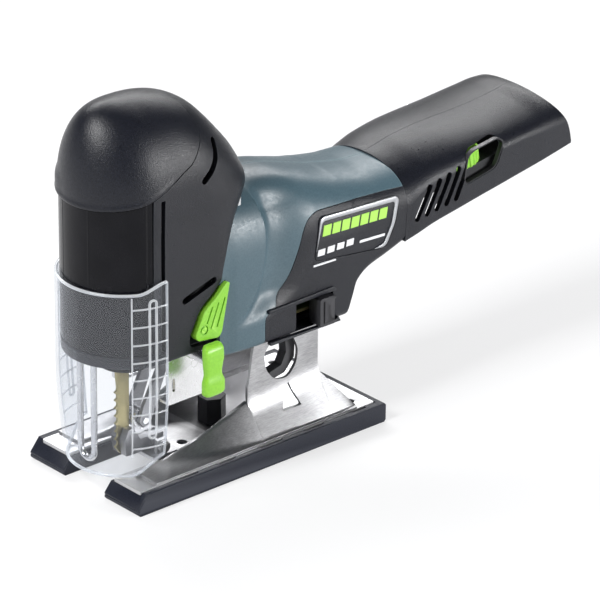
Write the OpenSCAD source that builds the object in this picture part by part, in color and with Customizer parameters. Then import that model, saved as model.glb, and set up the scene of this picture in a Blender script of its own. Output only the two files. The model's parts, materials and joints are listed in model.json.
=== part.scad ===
/* [Base] */
// Width of the running sole
base_w = 80; // [78:1:84]
// Length of the running sole
base_l = 153.5; // [150:0.5:156]
// Thickness of the running sole
sole_t = 9.9; // [9.5:0.1:10.5]
// Free width between the two front prongs
slot_w = 30; // [28:1:32]

/* [Head] */
// Radius of the round head front
head_r = 29.5; // [29:0.1:30]
// Distance of the plunger axis behind the front edge of the sole
plunger_x = 25; // [24:0.5:26]
// Height of the lower rim of the round head front
front_rim_z = 72.5; // [71:0.5:73]
// Height of the top of the hood
hood_top_z = 190; // [189:1:193]

/* [Body] */
// Half the width of the motor housing
body_hw = 31; // [30:0.5:31.5]
// Half the width of the handle hood
handle_hw = 33; // [32:0.5:34]
// Wall thickness of the plastic shells
wall = 2.5; // [2:0.1:2.6]
// Height of the motor axis
motor_z = 100; // [99:0.5:101]

/* [Drive] */
// Stroke of the plunger
stroke = 26; // [20:1:26]
// Radius of the plunger
plunger_r = 5; // [4.5:0.1:5]
// Running clearance of shafts and the plunger in their bores, radial
fit = 0.05; // [0.03:0.01:0.08]
// Tooth module of the gear pair
tooth_module = 0.9; // [0.9:0.1:0.9]
// Teeth of the motor pinion
pinion_teeth = 12; // [12:1:12]
// Teeth of the drive gear
gear_teeth = 46; // [44:1:46]

/* [Blade] */
// Depth of the saw blade from tooth tip to back
blade_depth = 8.5; // [7:0.5:9]
// Thickness of the saw blade
blade_t = 1.2; // [1:0.1:1.5]
// Height of the blade tip with the plunger at the top
blade_tip_z = 11; // [8:1:14]

/* [Chip guard] */
// Inner radius of the clear guard
guard_r = 30.4; // [30.2:0.1:30.6]
// Wall thickness of the clear guard
guard_t = 1.5; // [1.2:0.1:1.6]

/* [Hidden] */
$fn = 32;

// Ends of the whole tool along X, measured from the front edge of the sole
tool_front_x = plunger_x - guard_r - guard_t;
tool_rear_x = 281;
mid_x = (tool_front_x + tool_rear_x) / 2;

// Gear train: the drive gear sits above the pinion, both on axes along X
pinion_r = tooth_module * pinion_teeth / 2;
gear_r = tooth_module * gear_teeth / 2;
gear_z = motor_z + pinion_r + gear_r;
crank_r = stroke / 2;
pin_z = gear_z + crank_r;
pressure_angle = 25;
gear_x0 = 58;
gear_x1 = 66;
wall_x0 = 70;
wall_x1 = 76;
stator_x = [92, 130];

// Joint centres in the side view, as [x, z]
lever_pivot = [48.5, 62];
fork_pivot = [50, 56];
hood_pivot = [45, 180.5];
hood_pin_r = 1.5;
roller_r = 5;
blade_back_x = 27;
roller_c = [blade_back_x + roller_r + 0.35, 26.5];
wheel_r = 11;
wheel_h = 7.6;
wheel_at = [42.5, -19, 3.4];
dock_tilt = 8.6;
wheel_pin_r = 2.4;
// Height where the blade's shank ends against the plunger
shank_top = 66;

// Side view of the joint line between head and motor housing, from the bottom up
head_joint = [[57, 56], [57, 71], [59, 81], [63, 95], [66, 107], [68, 116], [70, 126]];
// Side view of the joint line under the hood
hood_joint = [
  [-12, 143.5], [12, 147], [23, 151], [29, 154], [36, 158], [42, 161], [47, 166],
  [50, 170], [51, 175], [50.8, 178], [50.6, 180.5], [49.9, 183.3], [48.4, 184.9], [47.2, 185.7],
  [46, 200], [-12, 200]
];
// The hood's own edge: clear of the joint line, and concentric with the hinge above the hinge's height
hood_edge = [for (p = hood_joint) p + (p[1] < 177 ? [-0.35, 0.35] : [-0.35, 0])];
// Side view of the black lower housing, with the label panel above it
lower_outline = [
  [84.2, 50], [84.2, 73], [91, 74], [93, 80], [101, 88], [106, 99], [109, 109], [112, 114],
  [117, 116.5], [140, 115.5], [176, 112.5], [176, 50]
];
label_outline = [[115, 92], [118, 113.6], [166.5, 111], [168, 109], [166, 98], [160, 86.5]];
wheel_window = [[208.5, 104.5], [210.5, 119], [214, 121.5], [231, 124], [235, 121], [230, 108.5]];
button_outline = [
  [62.2, 97.4], [60.5, 98], [54, 92], [47, 87], [41.5, 76], [43, 73], [55.5, 71.5], [57.4, 73.5]
];

// ---------- helpers ----------

// Puts the tool's middle over the origin
module centred() {
  translate([-mid_x, 0, 0]) children();
}

// Places a shape on the tilted battery dock
module on_dock() {
  translate([175, 0, 101.5]) rotate([0, -dock_tilt, 0]) children();
}

// Both sides of the tool from one left-hand shape
module both_sides() {
  children();
  mirror([0, 1, 0]) children();
}

module right_of() {
  mirror([0, 1, 0]) children();
}

module slab(x, y, z) {
  translate([x[0], y[0], z[0]]) cube([x[1] - x[0], y[1] - y[0], z[1] - z[0]]);
}

module rod_x(x, r, y, z) {
  translate([x[0], y, z]) rotate([0, 90, 0]) cylinder(r = r, h = x[1] - x[0]);
}

module rod_y(y, r, x, z) {
  translate([x, y[1], z]) rotate([90, 0, 0]) cylinder(r = r, h = y[1] - y[0]);
}

module rod_z(z, r, x, y) {
  translate([x, y, z[0]]) cylinder(r = r, h = z[1] - z[0]);
}

module tube_x(x, ro, ri, y, z) {
  difference() {
    rod_x(x, ro, y, z);
    rod_x([x[0] - 1, x[1] + 1], ri, y, z);
  }
}

// A side-view outline given thickness across the tool
module side_prism(outline, y) {
  translate([0, y[1], 0]) rotate([90, 0, 0]) linear_extrude(height = y[1] - y[0]) polygon(outline);
}

// A slot with round ends between two points of the side view
module side_slot(a, b, w, y) {
  d = norm(b - a);
  t = atan2(b[1] - a[1], b[0] - a[0]);
  translate([a[0], 0, a[1]]) rotate([0, -t, 0]) {
    slab([0, d], y, [-w / 2, w / 2]);
    rod_y(y, w / 2, 0, 0);
    rod_y(y, w / 2, d, 0);
  }
}

// Quads between two rows of points that start at index a and b
function strip(a, b, n) = [for (i = [0 : n - 2]) [a + i, b + i, b + i + 1, a + i + 1]];

function split_quads(quads) = [
  for (q = quads) each [[q[0], q[1], q[2]], [q[0], q[2], q[3]]]
];

// Thin shell between an outer and an inner row of points at each station
module shell_loft(outer, inner) {
  m = len(outer);
  k = len(outer[0]);
  ring = 2 * k;
  points = [
    for (j = [0 : m - 1]) each concat(outer[j], [for (i = [0 : k - 1]) inner[j][k - 1 - i]])
  ];
  skin = [
    for (j = [0 : m - 2]) for (i = [0 : ring - 1])
      [j * ring + i, j * ring + (i + 1) % ring, (j + 1) * ring + (i + 1) % ring, (j + 1) * ring + i]
  ];
  first = [for (i = [0 : k - 2]) [i + 1, i, ring - 1 - i, ring - 2 - i]];
  last = [for (q = first) [for (i = [3 : -1 : 0]) q[i] + (m - 1) * ring]];
  polyhedron(points = points, faces = split_quads(concat(skin, first, last)), convexity = 6);
}

// Solid through closed rings of points, one above the other
module solid_loft(rings) {
  m = len(rings);
  n = len(rings[0]);
  points = [for (r = rings) each r];
  skin = [
    for (j = [0 : m - 2]) for (i = [0 : n - 1])
      [j * n + i, (j + 1) * n + i, (j + 1) * n + (i + 1) % n, j * n + (i + 1) % n]
  ];
  bottom = [for (i = [0 : n - 1]) i];
  top = [for (i = [n - 1 : -1 : 0]) (m - 1) * n + i];
  polyhedron(points = points, faces = concat(split_quads(skin), [bottom, top]), convexity = 4);
}

// ---------- shell sections ----------

quarter_steps = 8;

// Half section of body or handle at x: flat bottom, upright side, rounded top
function half_section(x, w, zb, zs, zt, n, c) = concat(
  [[x, 0, zb], [x, c - w, zb], [x, 0.3 * c - w, zb + 0.3 * c], [x, -w, zb + c]],
  [
    for (i = [0 : quarter_steps])
      let (t = 90 * i / quarter_steps)
      [x, -w * pow(cos(t), 2 / n), zs + (zt - zs) * pow(sin(t), 2 / n)]
  ]
);

// Stations of the motor housing: x, half width, bottom, shoulder and top height
body_stations = [
  [58, body_hw - 0.5, 58, 100, 139], [70, body_hw, 58, 100, 138.5], [84, body_hw, 58, 100, 137.5],
  [92, body_hw - 2.5, 57.5, 100, 136.5], [104, body_hw - 1.5, 57.5, 101, 135.5],
  [120, body_hw - 0.3, 57.5, 103, 131.6], [136, body_hw, 57.5, 104, 127.6],
  [139, body_hw, 64, 104, 127.3], [142, body_hw, 72, 103, 126.8], [150, body_hw, 78, 103, 125],
  [161, body_hw, 81.5, 102, 122.5], [172.5, body_hw, 85.5, 101, 121.3]
];

module body_half() {
  shell_loft(
    [for (s = body_stations) half_section(s[0], s[1], s[2], s[3], s[4], 2.5, 4)],
    [
      for (s = body_stations)
        half_section(s[0], s[1] - wall, s[2] + wall, s[3], s[4] - wall, 2.5, 2)
    ]
  );
}

// Stations of the handle hood: x, half width, lower edge, shoulder and top height
handle_stations = [
  [172.9, body_hw - 0.2, 85.6, 104, 123.4], [180, body_hw + 0.7, 88, 108, 125.6],
  [190, handle_hw - 0.8, 91, 111, 127.8], [209, handle_hw, 95, 114, 129.8],
  [235, handle_hw, 99.5, 117, 131], [258, handle_hw, 103.5, 118, 132],
  [268, handle_hw - 0.3, 105.2, 118, 132], [281, handle_hw - 1, 107.3, 118, 130]
];
handle_rear = [[262, 150], [268, 136], [275.5, 124], [281.2, 107.6], [290, 100], [290, 150]];

// The hood section is open below, so its shell runs from one lower edge only
function hood_section(s, t) = concat(
  [[s[0], t - s[1], s[2]], [s[0], t - s[1], (s[2] + s[3]) / 2]],
  [
    for (i = [0 : quarter_steps])
      let (a = 90 * i / quarter_steps, h = s[4] - t - s[3])
      [s[0], -(s[1] - t) * pow(cos(a), 2 / 2.1), s[3] + h * pow(sin(a), 2 / 2.1)]
  ]
);

module handle_half() {
  difference() {
    shell_loft(
      [for (s = handle_stations) hood_section(s, 0)],
      [for (s = handle_stations) hood_section(s, wall)]
    );
    side_prism(handle_rear, [-50, 1]);
  }
}

// Plan view of the head, from the hood's front round the left side to the middle of the rear
function head_row(z, r, xr, n, t, from) = concat(
  [
    for (i = [0 : 6])
      let (a = from + (90 - from) * i / 6)
      [plunger_x - (r - t) * cos(a), -(r - t) * sin(a), z]
  ],
  [
    for (i = [0 : 8])
      let (a = 90 - 90 * i / 8, x0 = plunger_x + (xr - plunger_x) * 0.55)
      [x0 + (xr - t - x0) * pow(cos(a), 2 / n), -(r - t) * pow(sin(a), 2 / n), z]
  ]
);

// Stations of the head: height, radius, rear end and squareness of the rear corners
head_stations = [
  [67, head_r - 0.5, 56.8, 9], [71, head_r, 56.8, 9], [81, head_r, 58.8, 9],
  [95, head_r, 62.8, 9], [107, head_r, 65.8, 9], [116, head_r, 67.8, 9], [125.8, head_r, 69.8, 9],
  [126, head_r, 88.5, 2.6], [140, head_r, 88.5, 2.6], [150, head_r - 0.3, 84, 2.5],
  [158, head_r - 1, 79, 2.4], [167, head_r - 3.2, 71.5, 2.3], [175, head_r - 7, 65, 2.2],
  [180, head_r - 10, 61, 2.2], [184, head_r - 13.5, 56, 2.2], [187, head_r - 18, 50, 2.2]
];
front_cover_angle = 78;

module head_half() {
  difference() {
    shell_loft(
      [for (s = head_stations) head_row(s[0], s[1], s[2], s[3], 0, front_cover_angle)],
      [for (s = head_stations) head_row(s[0], s[1], s[2], s[3], wall, front_cover_angle)]
    );
    side_prism(hood_joint, [-40, 1]);
    slab([50, 86], [-24, 1], [72.8, 126.5]);
  }
}

// Stations of the hood: height, radius, front shift, rear end
hood_stations = [
  [140, head_r + 0.6, 0, 88.5], [150, head_r + 0.4, 0, 84], [158, head_r - 0.5, 0.3, 79],
  [167, head_r - 2.2, 1.2, 71.5], [175, head_r - 5.5, 2.8, 64.5], [182, head_r - 10.5, 5.5, 57],
  [186, head_r - 15, 9, 48], [188.8, head_r - 20, 14, 41], [hood_top_z, head_r - 25.5, 19, 33]
];

function hood_ring(s, t) =
  let (
    xf = plunger_x - head_r + s[2] + t,
    xr = s[3] - t,
    w = s[1] - t,
    xm = plunger_x - 4 * s[2] / 19
  )
  concat(
    [for (i = [0 : 11]) let (a = 15 * i) [xm - (xm - xf) * sin(a), w * cos(a), s[0] - t * s[2] / 19]],
    [
      for (i = [0 : 11])
        let (a = 15 * i)
        [
          xm + (xr - xm) * pow(sin(a), 0.85),
          -w * cos(a) * pow(abs(cos(a)) + 0.0001, -0.15),
          s[0] - t * s[2] / 19
        ]
    ]
  );

// ---------- shells ----------

// Housing screws on the right side: x, z and the height of the head above the middle plane
screw_spots = [[40, 118, 29.3], [78, 112, 30.1], [131, 70, 30.8], [232, 117, 32.6], [256, 119, 32]];

module screw_seats() {
  for (s = screw_spots) {
    rod_y([-40, 1.6 - s[2]], 3.6, s[0], s[1]);
    rod_y([-40, -15], 1.65, s[0], s[1]);
  }
}

module motor_half() {
  difference() {
    body_half();
    side_prism(lower_outline, [-40, 1]);
    side_prism(concat([[40, 40]], [for (p = head_joint) p + [0.15, 0]], [[40, 126]]), [-40, 1]);
    translate([0, 0, 125.8]) linear_extrude(height = 30) polygon(concat(
      [for (p = head_row(0, head_r + 0.2, 88.8, 2.6, 0, 60)) [p[0], p[1]]],
      [[60, 2], [40, 2]]
    ));
    slab([wall_x0 - 1, wall_x1 + 0.2], [-23.2, 1], [118, 126.2]);
  }
}

module motor_housing_left() {
  color("#5c7884") centred() motor_half();
}

module motor_housing_right() {
  color("#5c7884") centred() right_of() difference() {
    motor_half();
    screw_seats();
  }
}

slider_travel = 12;
slider_x = [117, 126];
slider_z = [58.5, 73];

module lower_half() {
  intersection() {
    body_half();
    side_prism(lower_outline, [-40, 1]);
  }
}

module lower_housing_left() {
  color("#2b2c30") centred() difference() {
    lower_half();
    slab(
      [slider_x[0] - slider_travel - 1.4, slider_x[1] + 0.6], [-40, -20],
      [slider_z[0] - 0.6, slider_z[1] + 0.6]
    );
    side_prism(label_outline, [-40, -body_hw + 1.2]);
  }
}

module lower_housing_right() {
  color("#2b2c30") centred() right_of() difference() {
    lower_half();
    side_prism(label_outline, [-40, -body_hw + 1.2]);
    screw_seats();
  }
}

module label_plate() {
  difference() {
    side_prism(label_outline, [-body_hw - 0.3, -body_hw + 1.1]);
    translate([141.5, 0, 100]) scale([0.86, 1, 0.8]) translate([-141.5, 0, -100])
      side_prism(label_outline, [-body_hw - 1, -body_hw]);
  }
}

module label_panel_left() {
  color("#9a9ca0") centred() label_plate();
}

module label_panel_right() {
  color("#9a9ca0") centred() right_of() label_plate();
}

module button_window() {
  difference() {
    head_half();
    translate([52, 0, 85]) scale([1.06, 1, 1.06]) translate([-52, 0, -85])
      side_prism(button_outline, [-40, -20]);
    side_slot([48.8, 151.4], [56.8, 159.4], 3.6, [-40, -15]);
    side_slot([56.8, 159.4], [58.6, 165.8], 3.6, [-40, -15]);
    side_slot([36.5, 94.5], [54.5, 100], 3.8, [-40, -20]);
  }
}

module head_shell_left() {
  color("#2b2c30") centred() button_window();
}

module head_shell_right() {
  color("#2b2c30") centred() right_of() difference() {
    button_window();
    screw_seats();
  }
}

module head_front_cover() {
  color("#141518") centred() difference() {
    translate([plunger_x, 0, front_rim_z]) rotate([0, 0, 180 - front_cover_angle + 0.4])
      rotate_extrude(angle = 2 * front_cover_angle - 0.8)
        translate([head_r - wall, 0]) square([wall, 80]);
    side_prism(hood_joint, [-40, 40]);
  }
}

module head_floor_plate() {
  row = [for (p = head_row(0, head_r, 56, 9, wall + 0.9, 0)) [p[0], p[1]]];
  other_row = [for (i = [len(row) - 2 : -1 : 1]) [row[i][0], -row[i][1]]];
  color("#3a3b40") centred() difference() {
    translate([0, 0, 67.2]) linear_extrude(height = 2.6) polygon(concat(row, other_row));
    rod_z([60, 80], 12.05, plunger_x, 0);
    both_sides() rod_z([60, 80], 1.55, 2.5, 5);
  }
}

module vented_half() {
  difference() {
    handle_half();
    for (i = [0 : 4])
      side_slot([179.5 + 6 * i, 95.5 + 1.1 * i], [187 + 6 * i, 110 + 1.5 * i], 3.2, [-40, -22]);
  }
}

module handle_shell_left() {
  color("#2b2c30") centred() difference() {
    vented_half();
    on_dock() translate(wheel_at) translate([0, 0, -0.5]) cylinder(r = wheel_r + 0.4, h = wheel_h + 1);
    side_prism(wheel_window, [-40, -22]);
  }
}

module handle_shell_right() {
  color("#2b2c30") centred() right_of() difference() {
    vented_half();
    screw_seats();
  }
}

// ---------- hood over the head ----------

module hood_shell() {
  difference() {
    intersection() {
      solid_loft([for (s = hood_stations) hood_ring(s, 0)]);
      side_prism(hood_edge, [-40, 40]);
    }
    solid_loft([for (s = hood_stations) hood_ring([s[0] - (s[0] > 187 ? 2.2 : 0), s[1], s[2], s[3]], wall)]);
  }
}

module release_hood() {
  color("#2b2c30") centred() difference() {
    union() {
      hood_shell();
      both_sides() {
        rod_y([-10.5, -8.5], hood_pin_r + 1.5, hood_pivot[0], hood_pivot[1]);
        slab([hood_pivot[0] - 2.5, hood_pivot[0] + 1.5], [-10.5, -8.5], [hood_pivot[1], hood_pivot[1] + 2.5]);
      }
    }
    rod_y([-10.6, 10.6], hood_pin_r + fit, hood_pivot[0], hood_pivot[1]);
  }
}

module hood_hinge_pin() {
  color("#b8babd") centred() rod_y([-10.4, 10.4], hood_pin_r, hood_pivot[0], hood_pivot[1]);
}

// ---------- gear head ----------

module gearbox_housing() {
  color("#8d9093") centred() difference() {
    union() {
      translate([wall_x0, 0, 0]) rotate([90, 0, 90]) linear_extrude(height = wall_x1 - wall_x0)
        polygon([[-23, 74], [23, 74], [23, 134], [15, 153], [-15, 153], [-23, 134]]);
      both_sides() {
        slab([hood_pivot[0] - 2.4, hood_pivot[0] + 2.4], [-7.5, -5.5], [154, hood_pivot[1]]);
        rod_y([-7.5, -5.5], 2.4, hood_pivot[0], hood_pivot[1]);
      }
      slab([plunger_x + 4, wall_x1], [-9, 9], [149, 156]);
      slab([plunger_x + 4, wall_x1], [-9, 9], [73, 84]);
      rod_z([149, 156], 11, plunger_x, 0);
      rod_z([73, 84], 11, plunger_x, 0);
    }
    rod_z([60, 170], 8, plunger_x, 0);
    rod_x([60, 90], 8, 0, motor_z);
    rod_x([60, 90], 4, 0, gear_z);
    both_sides() for (z = [88, 128]) rod_x([60, 90], 1.7, -19, z);
    rod_y([-10, 10], hood_pin_r, hood_pivot[0], hood_pivot[1]);
  }
}

module gear_axle() {
  color("#c4c6c8") centred() union() {
    rod_x([gear_x0 - 3, wall_x1], 4, 0, gear_z);
    rod_x([gear_x0 - 4.6, gear_x0 - 3], 5.2, 0, gear_z);
  }
}

module gear_bearing() {
  color("#d0d2d4") centred() tube_x([gear_x0, gear_x1], 7, 4 + fit, 0, gear_z);
}

// Half the angle that a tooth spans at radius r
function involute(a) = tan(a) * 180 / PI - a;
function tooth_half(r, rp, teeth, backlash) =
  let (rb = rp * cos(pressure_angle), a = r > rb ? acos(rb / r) : 0)
  90 / teeth * backlash + involute(pressure_angle) - involute(a);

function tooth_points(teeth, k, root, tip, rp, backlash) =
  let (
    base = 360 * k / teeth,
    radii = [for (i = [0 : 4]) root + (tip - root) * i / 4],
    up = [for (r = radii) [r, base - tooth_half(r, rp, teeth, backlash)]],
    down = [for (i = [4 : -1 : 0]) [radii[i], base + tooth_half(radii[i], rp, teeth, backlash)]]
  )
  [for (p = concat(up, down)) [p[0] * cos(p[1]), p[0] * sin(p[1])]];

module gear_outline(teeth, backlash) {
  rp = tooth_module * teeth / 2;
  polygon([
    for (k = [0 : teeth - 1])
      each tooth_points(teeth, k, rp - 1.15 * tooth_module, rp + 0.85 * tooth_module, rp, backlash)
  ]);
}

module gear_along_x(x, teeth, z, turn) {
  translate([x[0], 0, z]) rotate([90, 0, 90]) rotate([0, 0, turn])
    linear_extrude(height = x[1] - x[0]) gear_outline(teeth, 0.88);
}

module drive_gear() {
  color("#a9abad") centred() difference() {
    gear_along_x([gear_x0, gear_x1], gear_teeth, gear_z, 270 + 180 / gear_teeth);
    rod_x([50, 80], 7, 0, gear_z);
    rod_x([gear_x0 - 1, gear_x1 + 1], 2.2, 0, pin_z);
    for (a = [30, 150, 210, 330]) rod_x([50, 80], 3, 13.5 * cos(a), gear_z + 13.5 * sin(a));
  }
}

module crank_pin() {
  color("#c9cbcd") centred() union() {
    rod_x([gear_x0 - 0.02, gear_x1], 2.18, 0, pin_z);
    rod_x([36.4, gear_x0 - 0.02], 3, 0, pin_z);
  }
}

module counterweight() {
  color("#77797c") centred() translate([gear_x1, 0, gear_z]) rotate([90, 0, 90])
    rotate([0, 0, 200]) rotate_extrude(angle = 140) translate([8, 0]) square([11, 3.4]);
}

// ---------- motor ----------

module motor_stator() {
  color("#6d6f72") centred() difference() {
    rod_x(stator_x, 24.5, 0, motor_z);
    rod_x([80, 150], 15.5, 0, motor_z);
    for (i = [0 : 11])
      translate([0, 0, motor_z]) rotate([30 * i, 0, 0]) slab([80, 150], [-1.2, 1.2], [15, 21]);
  }
}

module stator_windings() {
  color("#b56a34") centred() {
    tube_x([stator_x[0] - 3.5, stator_x[0]], 22.5, 16.5, 0, motor_z);
    tube_x([stator_x[1], stator_x[1] + 3.5], 22.5, 16.5, 0, motor_z);
  }
}

module motor_end_cap() {
  x = stator_x[1] + 4;
  color("#3a3b40") centred() difference() {
    union() {
      tube_x([x, x + 7], 24, 21.5, 0, motor_z);
      rod_x([x, x + 1.6], 24, 0, motor_z);
      rod_x([x, x + 7], 9.8, 0, motor_z);
    }
    rod_x([x - 5, x + 10], 7.4, 0, motor_z);
    for (i = [0 : 5]) translate([0, 0, motor_z]) rotate([60 * i, 0, 0]) rod_x([x - 5, x + 10], 3, 0, 14.5);
  }
}

module motor_rotor() {
  color("#48494d") centred() difference() {
    rod_x([stator_x[0] + 1, stator_x[1] - 1], 15, 0, motor_z);
    rod_x([80, 150], 3, 0, motor_z);
    for (i = [0 : 3]) translate([0, 0, motor_z]) rotate([90 * i, 0, 0]) rod_x([80, 150], 2, 0, 9);
  }
}

module motor_shaft() {
  color("#c4c6c8") centred() rod_x([56.5, stator_x[1] + 11], 3, 0, motor_z);
}

module motor_pinion() {
  color("#b0b2b4") centred() difference() {
    gear_along_x([gear_x0 - 0.5, gear_x1 + 0.5], pinion_teeth, motor_z, 90);
    rod_x([50, 80], 3, 0, motor_z);
  }
}

module motor_fan() {
  color("#2f3034") centred() difference() {
    union() {
      rod_x([78, 87], 6, 0, motor_z);
      rod_x([85.5, 87], 21.5, 0, motor_z);
      for (i = [0 : 10])
        translate([0, 0, motor_z]) rotate([360 * i / 11, 0, 0])
          translate([0, 0, 5]) rotate([18, 0, 0]) slab([78.5, 86], [-0.6, 0.6], [0, 15.5]);
    }
    rod_x([70, 100], 3, 0, motor_z);
  }
}

module front_bearing() {
  color("#d0d2d4") centred() tube_x([wall_x0, wall_x1], 8, 3 + fit, 0, motor_z);
}

module rear_bearing() {
  color("#d0d2d4") centred() tube_x([stator_x[1] + 5, stator_x[1] + 10], 7.4, 3 + fit, 0, motor_z);
}

// ---------- plunger and blade ----------

module plunger() {
  color("#c9cbcd") centred() difference() {
    rod_z([shank_top, 156 + stroke + 0.5], plunger_r, plunger_x, 0);
    rod_z([150, 190], 2.4, plunger_x, 0);
  }
}

module plunger_yoke() {
  color("#9c9ea1") centred() difference() {
    union() {
      slab([plunger_x - 7, plunger_x + 7], [-8, 8], [pin_z - 5.5, pin_z + 5.5]);
      slab([31, 36], [-20.5, 20.5], [pin_z - 6, pin_z + 6]);
    }
    rod_z([pin_z - 20, pin_z + 20], plunger_r, plunger_x, 0);
    slab([33, 40], [-crank_r - 3.2, crank_r + 3.2], [pin_z - 3.2, pin_z + 3.2]);
  }
}

module bush(z) {
  difference() {
    rod_z(z, 8, plunger_x, 0);
    rod_z([z[0] - 1, z[1] + 1], plunger_r + fit, plunger_x, 0);
  }
}

module upper_bush() {
  color("#b08d4a") centred() bush([149, 156]);
}

module lower_bush() {
  color("#b08d4a") centred() bush([73, 84]);
}

module plunger_collar() {
  color("#1f2023") centred() difference() {
    union() {
      rod_z([57, 72.9], 12, plunger_x, 0);
      rod_z([69.9, 72.9], 14, plunger_x, 0);
    }
    rod_z([50, 80], 7.4, plunger_x, 0);
    rod_z([50, 59], 9, plunger_x, 0);
  }
}

clamp_z = [58.5, 72];

module blade_clamp() {
  color("#3d3a33") centred() difference() {
    union() {
      rod_z([clamp_z[0] + 3, clamp_z[1]], 6.8, plunger_x, 0);
      rod_z([clamp_z[0], clamp_z[0] + 3], 5.6, plunger_x, 0);
    }
    rod_z([shank_top, clamp_z[1] + 1], plunger_r, plunger_x, 0);
    slab([18, 28], [-blade_t / 2, blade_t / 2], [50, shank_top]);
  }
}

tooth_pitch = 4;

module saw_blade() {
  front_x = blade_back_x - blade_depth;
  teeth = floor((50 - blade_tip_z - 4) / tooth_pitch);
  edge = [
    for (i = [0 : teeth - 1])
      let (z = blade_tip_z + 4 + tooth_pitch * i)
      each [[front_x, z], [front_x + 1.5, z + 1], [front_x + 1.6, z + 2.6]]
  ];
  color("#a99a63") centred() side_prism(
    concat(
      [[blade_back_x - 1, blade_tip_z], [front_x + 3, blade_tip_z]],
      edge,
      [[front_x + 1, 51], [front_x + 1, shank_top - 0.2]],
      [[blade_back_x, shank_top - 0.2], [blade_back_x, blade_tip_z + 2]]
    ),
    [-blade_t / 2, blade_t / 2]
  );
}

// ---------- orbit and blade guide ----------

module orbit_lever() {
  x = lever_pivot[0];
  side = [[-5, 45.5], [-6, 48], [-6, 52], [-4.6, 57], [-5.4, 62], [-5.6, 69], [-4.6, 71.5]];
  color("#93d13c") centred() side_prism(concat(
    [for (p = side) [x + p[0], p[1]]], [for (i = [6 : -1 : 0]) [x - side[i][0], side[i][1]]]
  ), [-38, -33.4]);
}

module orbit_shaft() {
  color("#3f4145") centred() rod_y([-33.4, -12], 2.8, lever_pivot[0], lever_pivot[1]);
}

bracket_y = 20.5;

module pendulum_bracket() {
  color("#b4b6b8") centred() difference() {
    union() {
      both_sides() slab([34, 57], [-bracket_y, -bracket_y + 1.6], [40, 67]);
      both_sides() slab([34, 57], [-bracket_y, -bracket_y + 6], [39, 40.6]);
      slab([40, 57], [-bracket_y, bracket_y], [65.4, 67]);
    }
    rod_y([-30, 30], 2.8 + fit, lever_pivot[0], lever_pivot[1]);
    rod_y([-30, 30], 2, fork_pivot[0], fork_pivot[1]);
    both_sides() side_slot([37.5, 46], [37.5, 51], 1.6, [-30, -15]);
  }
}

module fork_pivot_pin() {
  color("#c4c6c8") centred() rod_y([-bracket_y, bracket_y], 2, fork_pivot[0], fork_pivot[1]);
}

module roller_fork() {
  p = fork_pivot;
  c = roller_c;
  arm = [
    [p[0] - 3.5, p[1] - 4], [p[0] + 4.5, p[1] - 3], [p[0] + 4, p[1] + 3.5], [p[0] - 4, p[1] + 3.5],
    [p[0] - 9, p[1] - 4], [c[0] - 1, c[1] + 7], [c[0] - 3.4, c[1]], [c[0] - 1, c[1] - 3.4],
    [c[0] + 3, c[1] - 2.5], [c[0] + 5.5, c[1] + 4]
  ];
  color("#7c7e80") centred() difference() {
    union() {
      both_sides() side_prism(arm, [-5.8, -3.8]);
      rod_y([-5.8, 5.8], 3.4, p[0], p[1]);
    }
    rod_y([-10, 10], 2 + fit, p[0], p[1]);
    rod_y([-10, 10], 1.6, c[0], c[1]);
  }
}

module roller_pin() {
  color("#c4c6c8") centred() rod_y([-6.4, 6.4], 1.6, roller_c[0], roller_c[1]);
}

module guide_roller() {
  color("#9a9c9f") centred() difference() {
    union() {
      rod_y([-3.4, 3.4], roller_r - 0.2, roller_c[0], roller_c[1]);
      both_sides() rod_y([-3.4, -1.2], roller_r, roller_c[0], roller_c[1]);
    }
    rod_y([-10, 10], 1.6 + fit, roller_c[0], roller_c[1]);
  }
}

plate_z = [8.4, 10.4];
jaw_gap = 0.4;
jaw_screw_c = [38, 13.6];

module jaw_left_shape() {
  difference() {
    side_prism(
      [[21.5, 11], [20.5, 19], [23, 24], [26, 24], [30, 17.5], [44, 17], [44, 10.7], [24, 10.7]],
      [-blade_t / 2 - jaw_gap - 4, -blade_t / 2 - jaw_gap]
    );
    rod_y([-10, 10], 2 + fit, jaw_screw_c[0], jaw_screw_c[1]);
  }
}

module guide_jaw_left() {
  color("#4a4b4f") centred() jaw_left_shape();
}

module guide_jaw_right() {
  color("#4a4b4f") centred() right_of() jaw_left_shape();
}

module jaw_screw() {
  color("#b8babd") centred() union() {
    rod_y([-11.8, 11.8], 2, jaw_screw_c[0], jaw_screw_c[1]);
    rod_y([-13.6, -11.8], 3, jaw_screw_c[0], jaw_screw_c[1]);
  }
}

// ---------- base ----------

wall_y = 22;
foot_y = 36;

module base_holes() {
  for (x = [66, 141]) both_sides() rod_z([-1, 12], 2.2, x, -28);
}

// Sheet between side-view points that differ in Y, as a thin hull of small balls
module panel(points) {
  hull() for (p = points) translate(p) rotate([0, 0, 22.5]) cylinder(r = 0.9, h = 1.6, $fn = 8);
}

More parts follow.
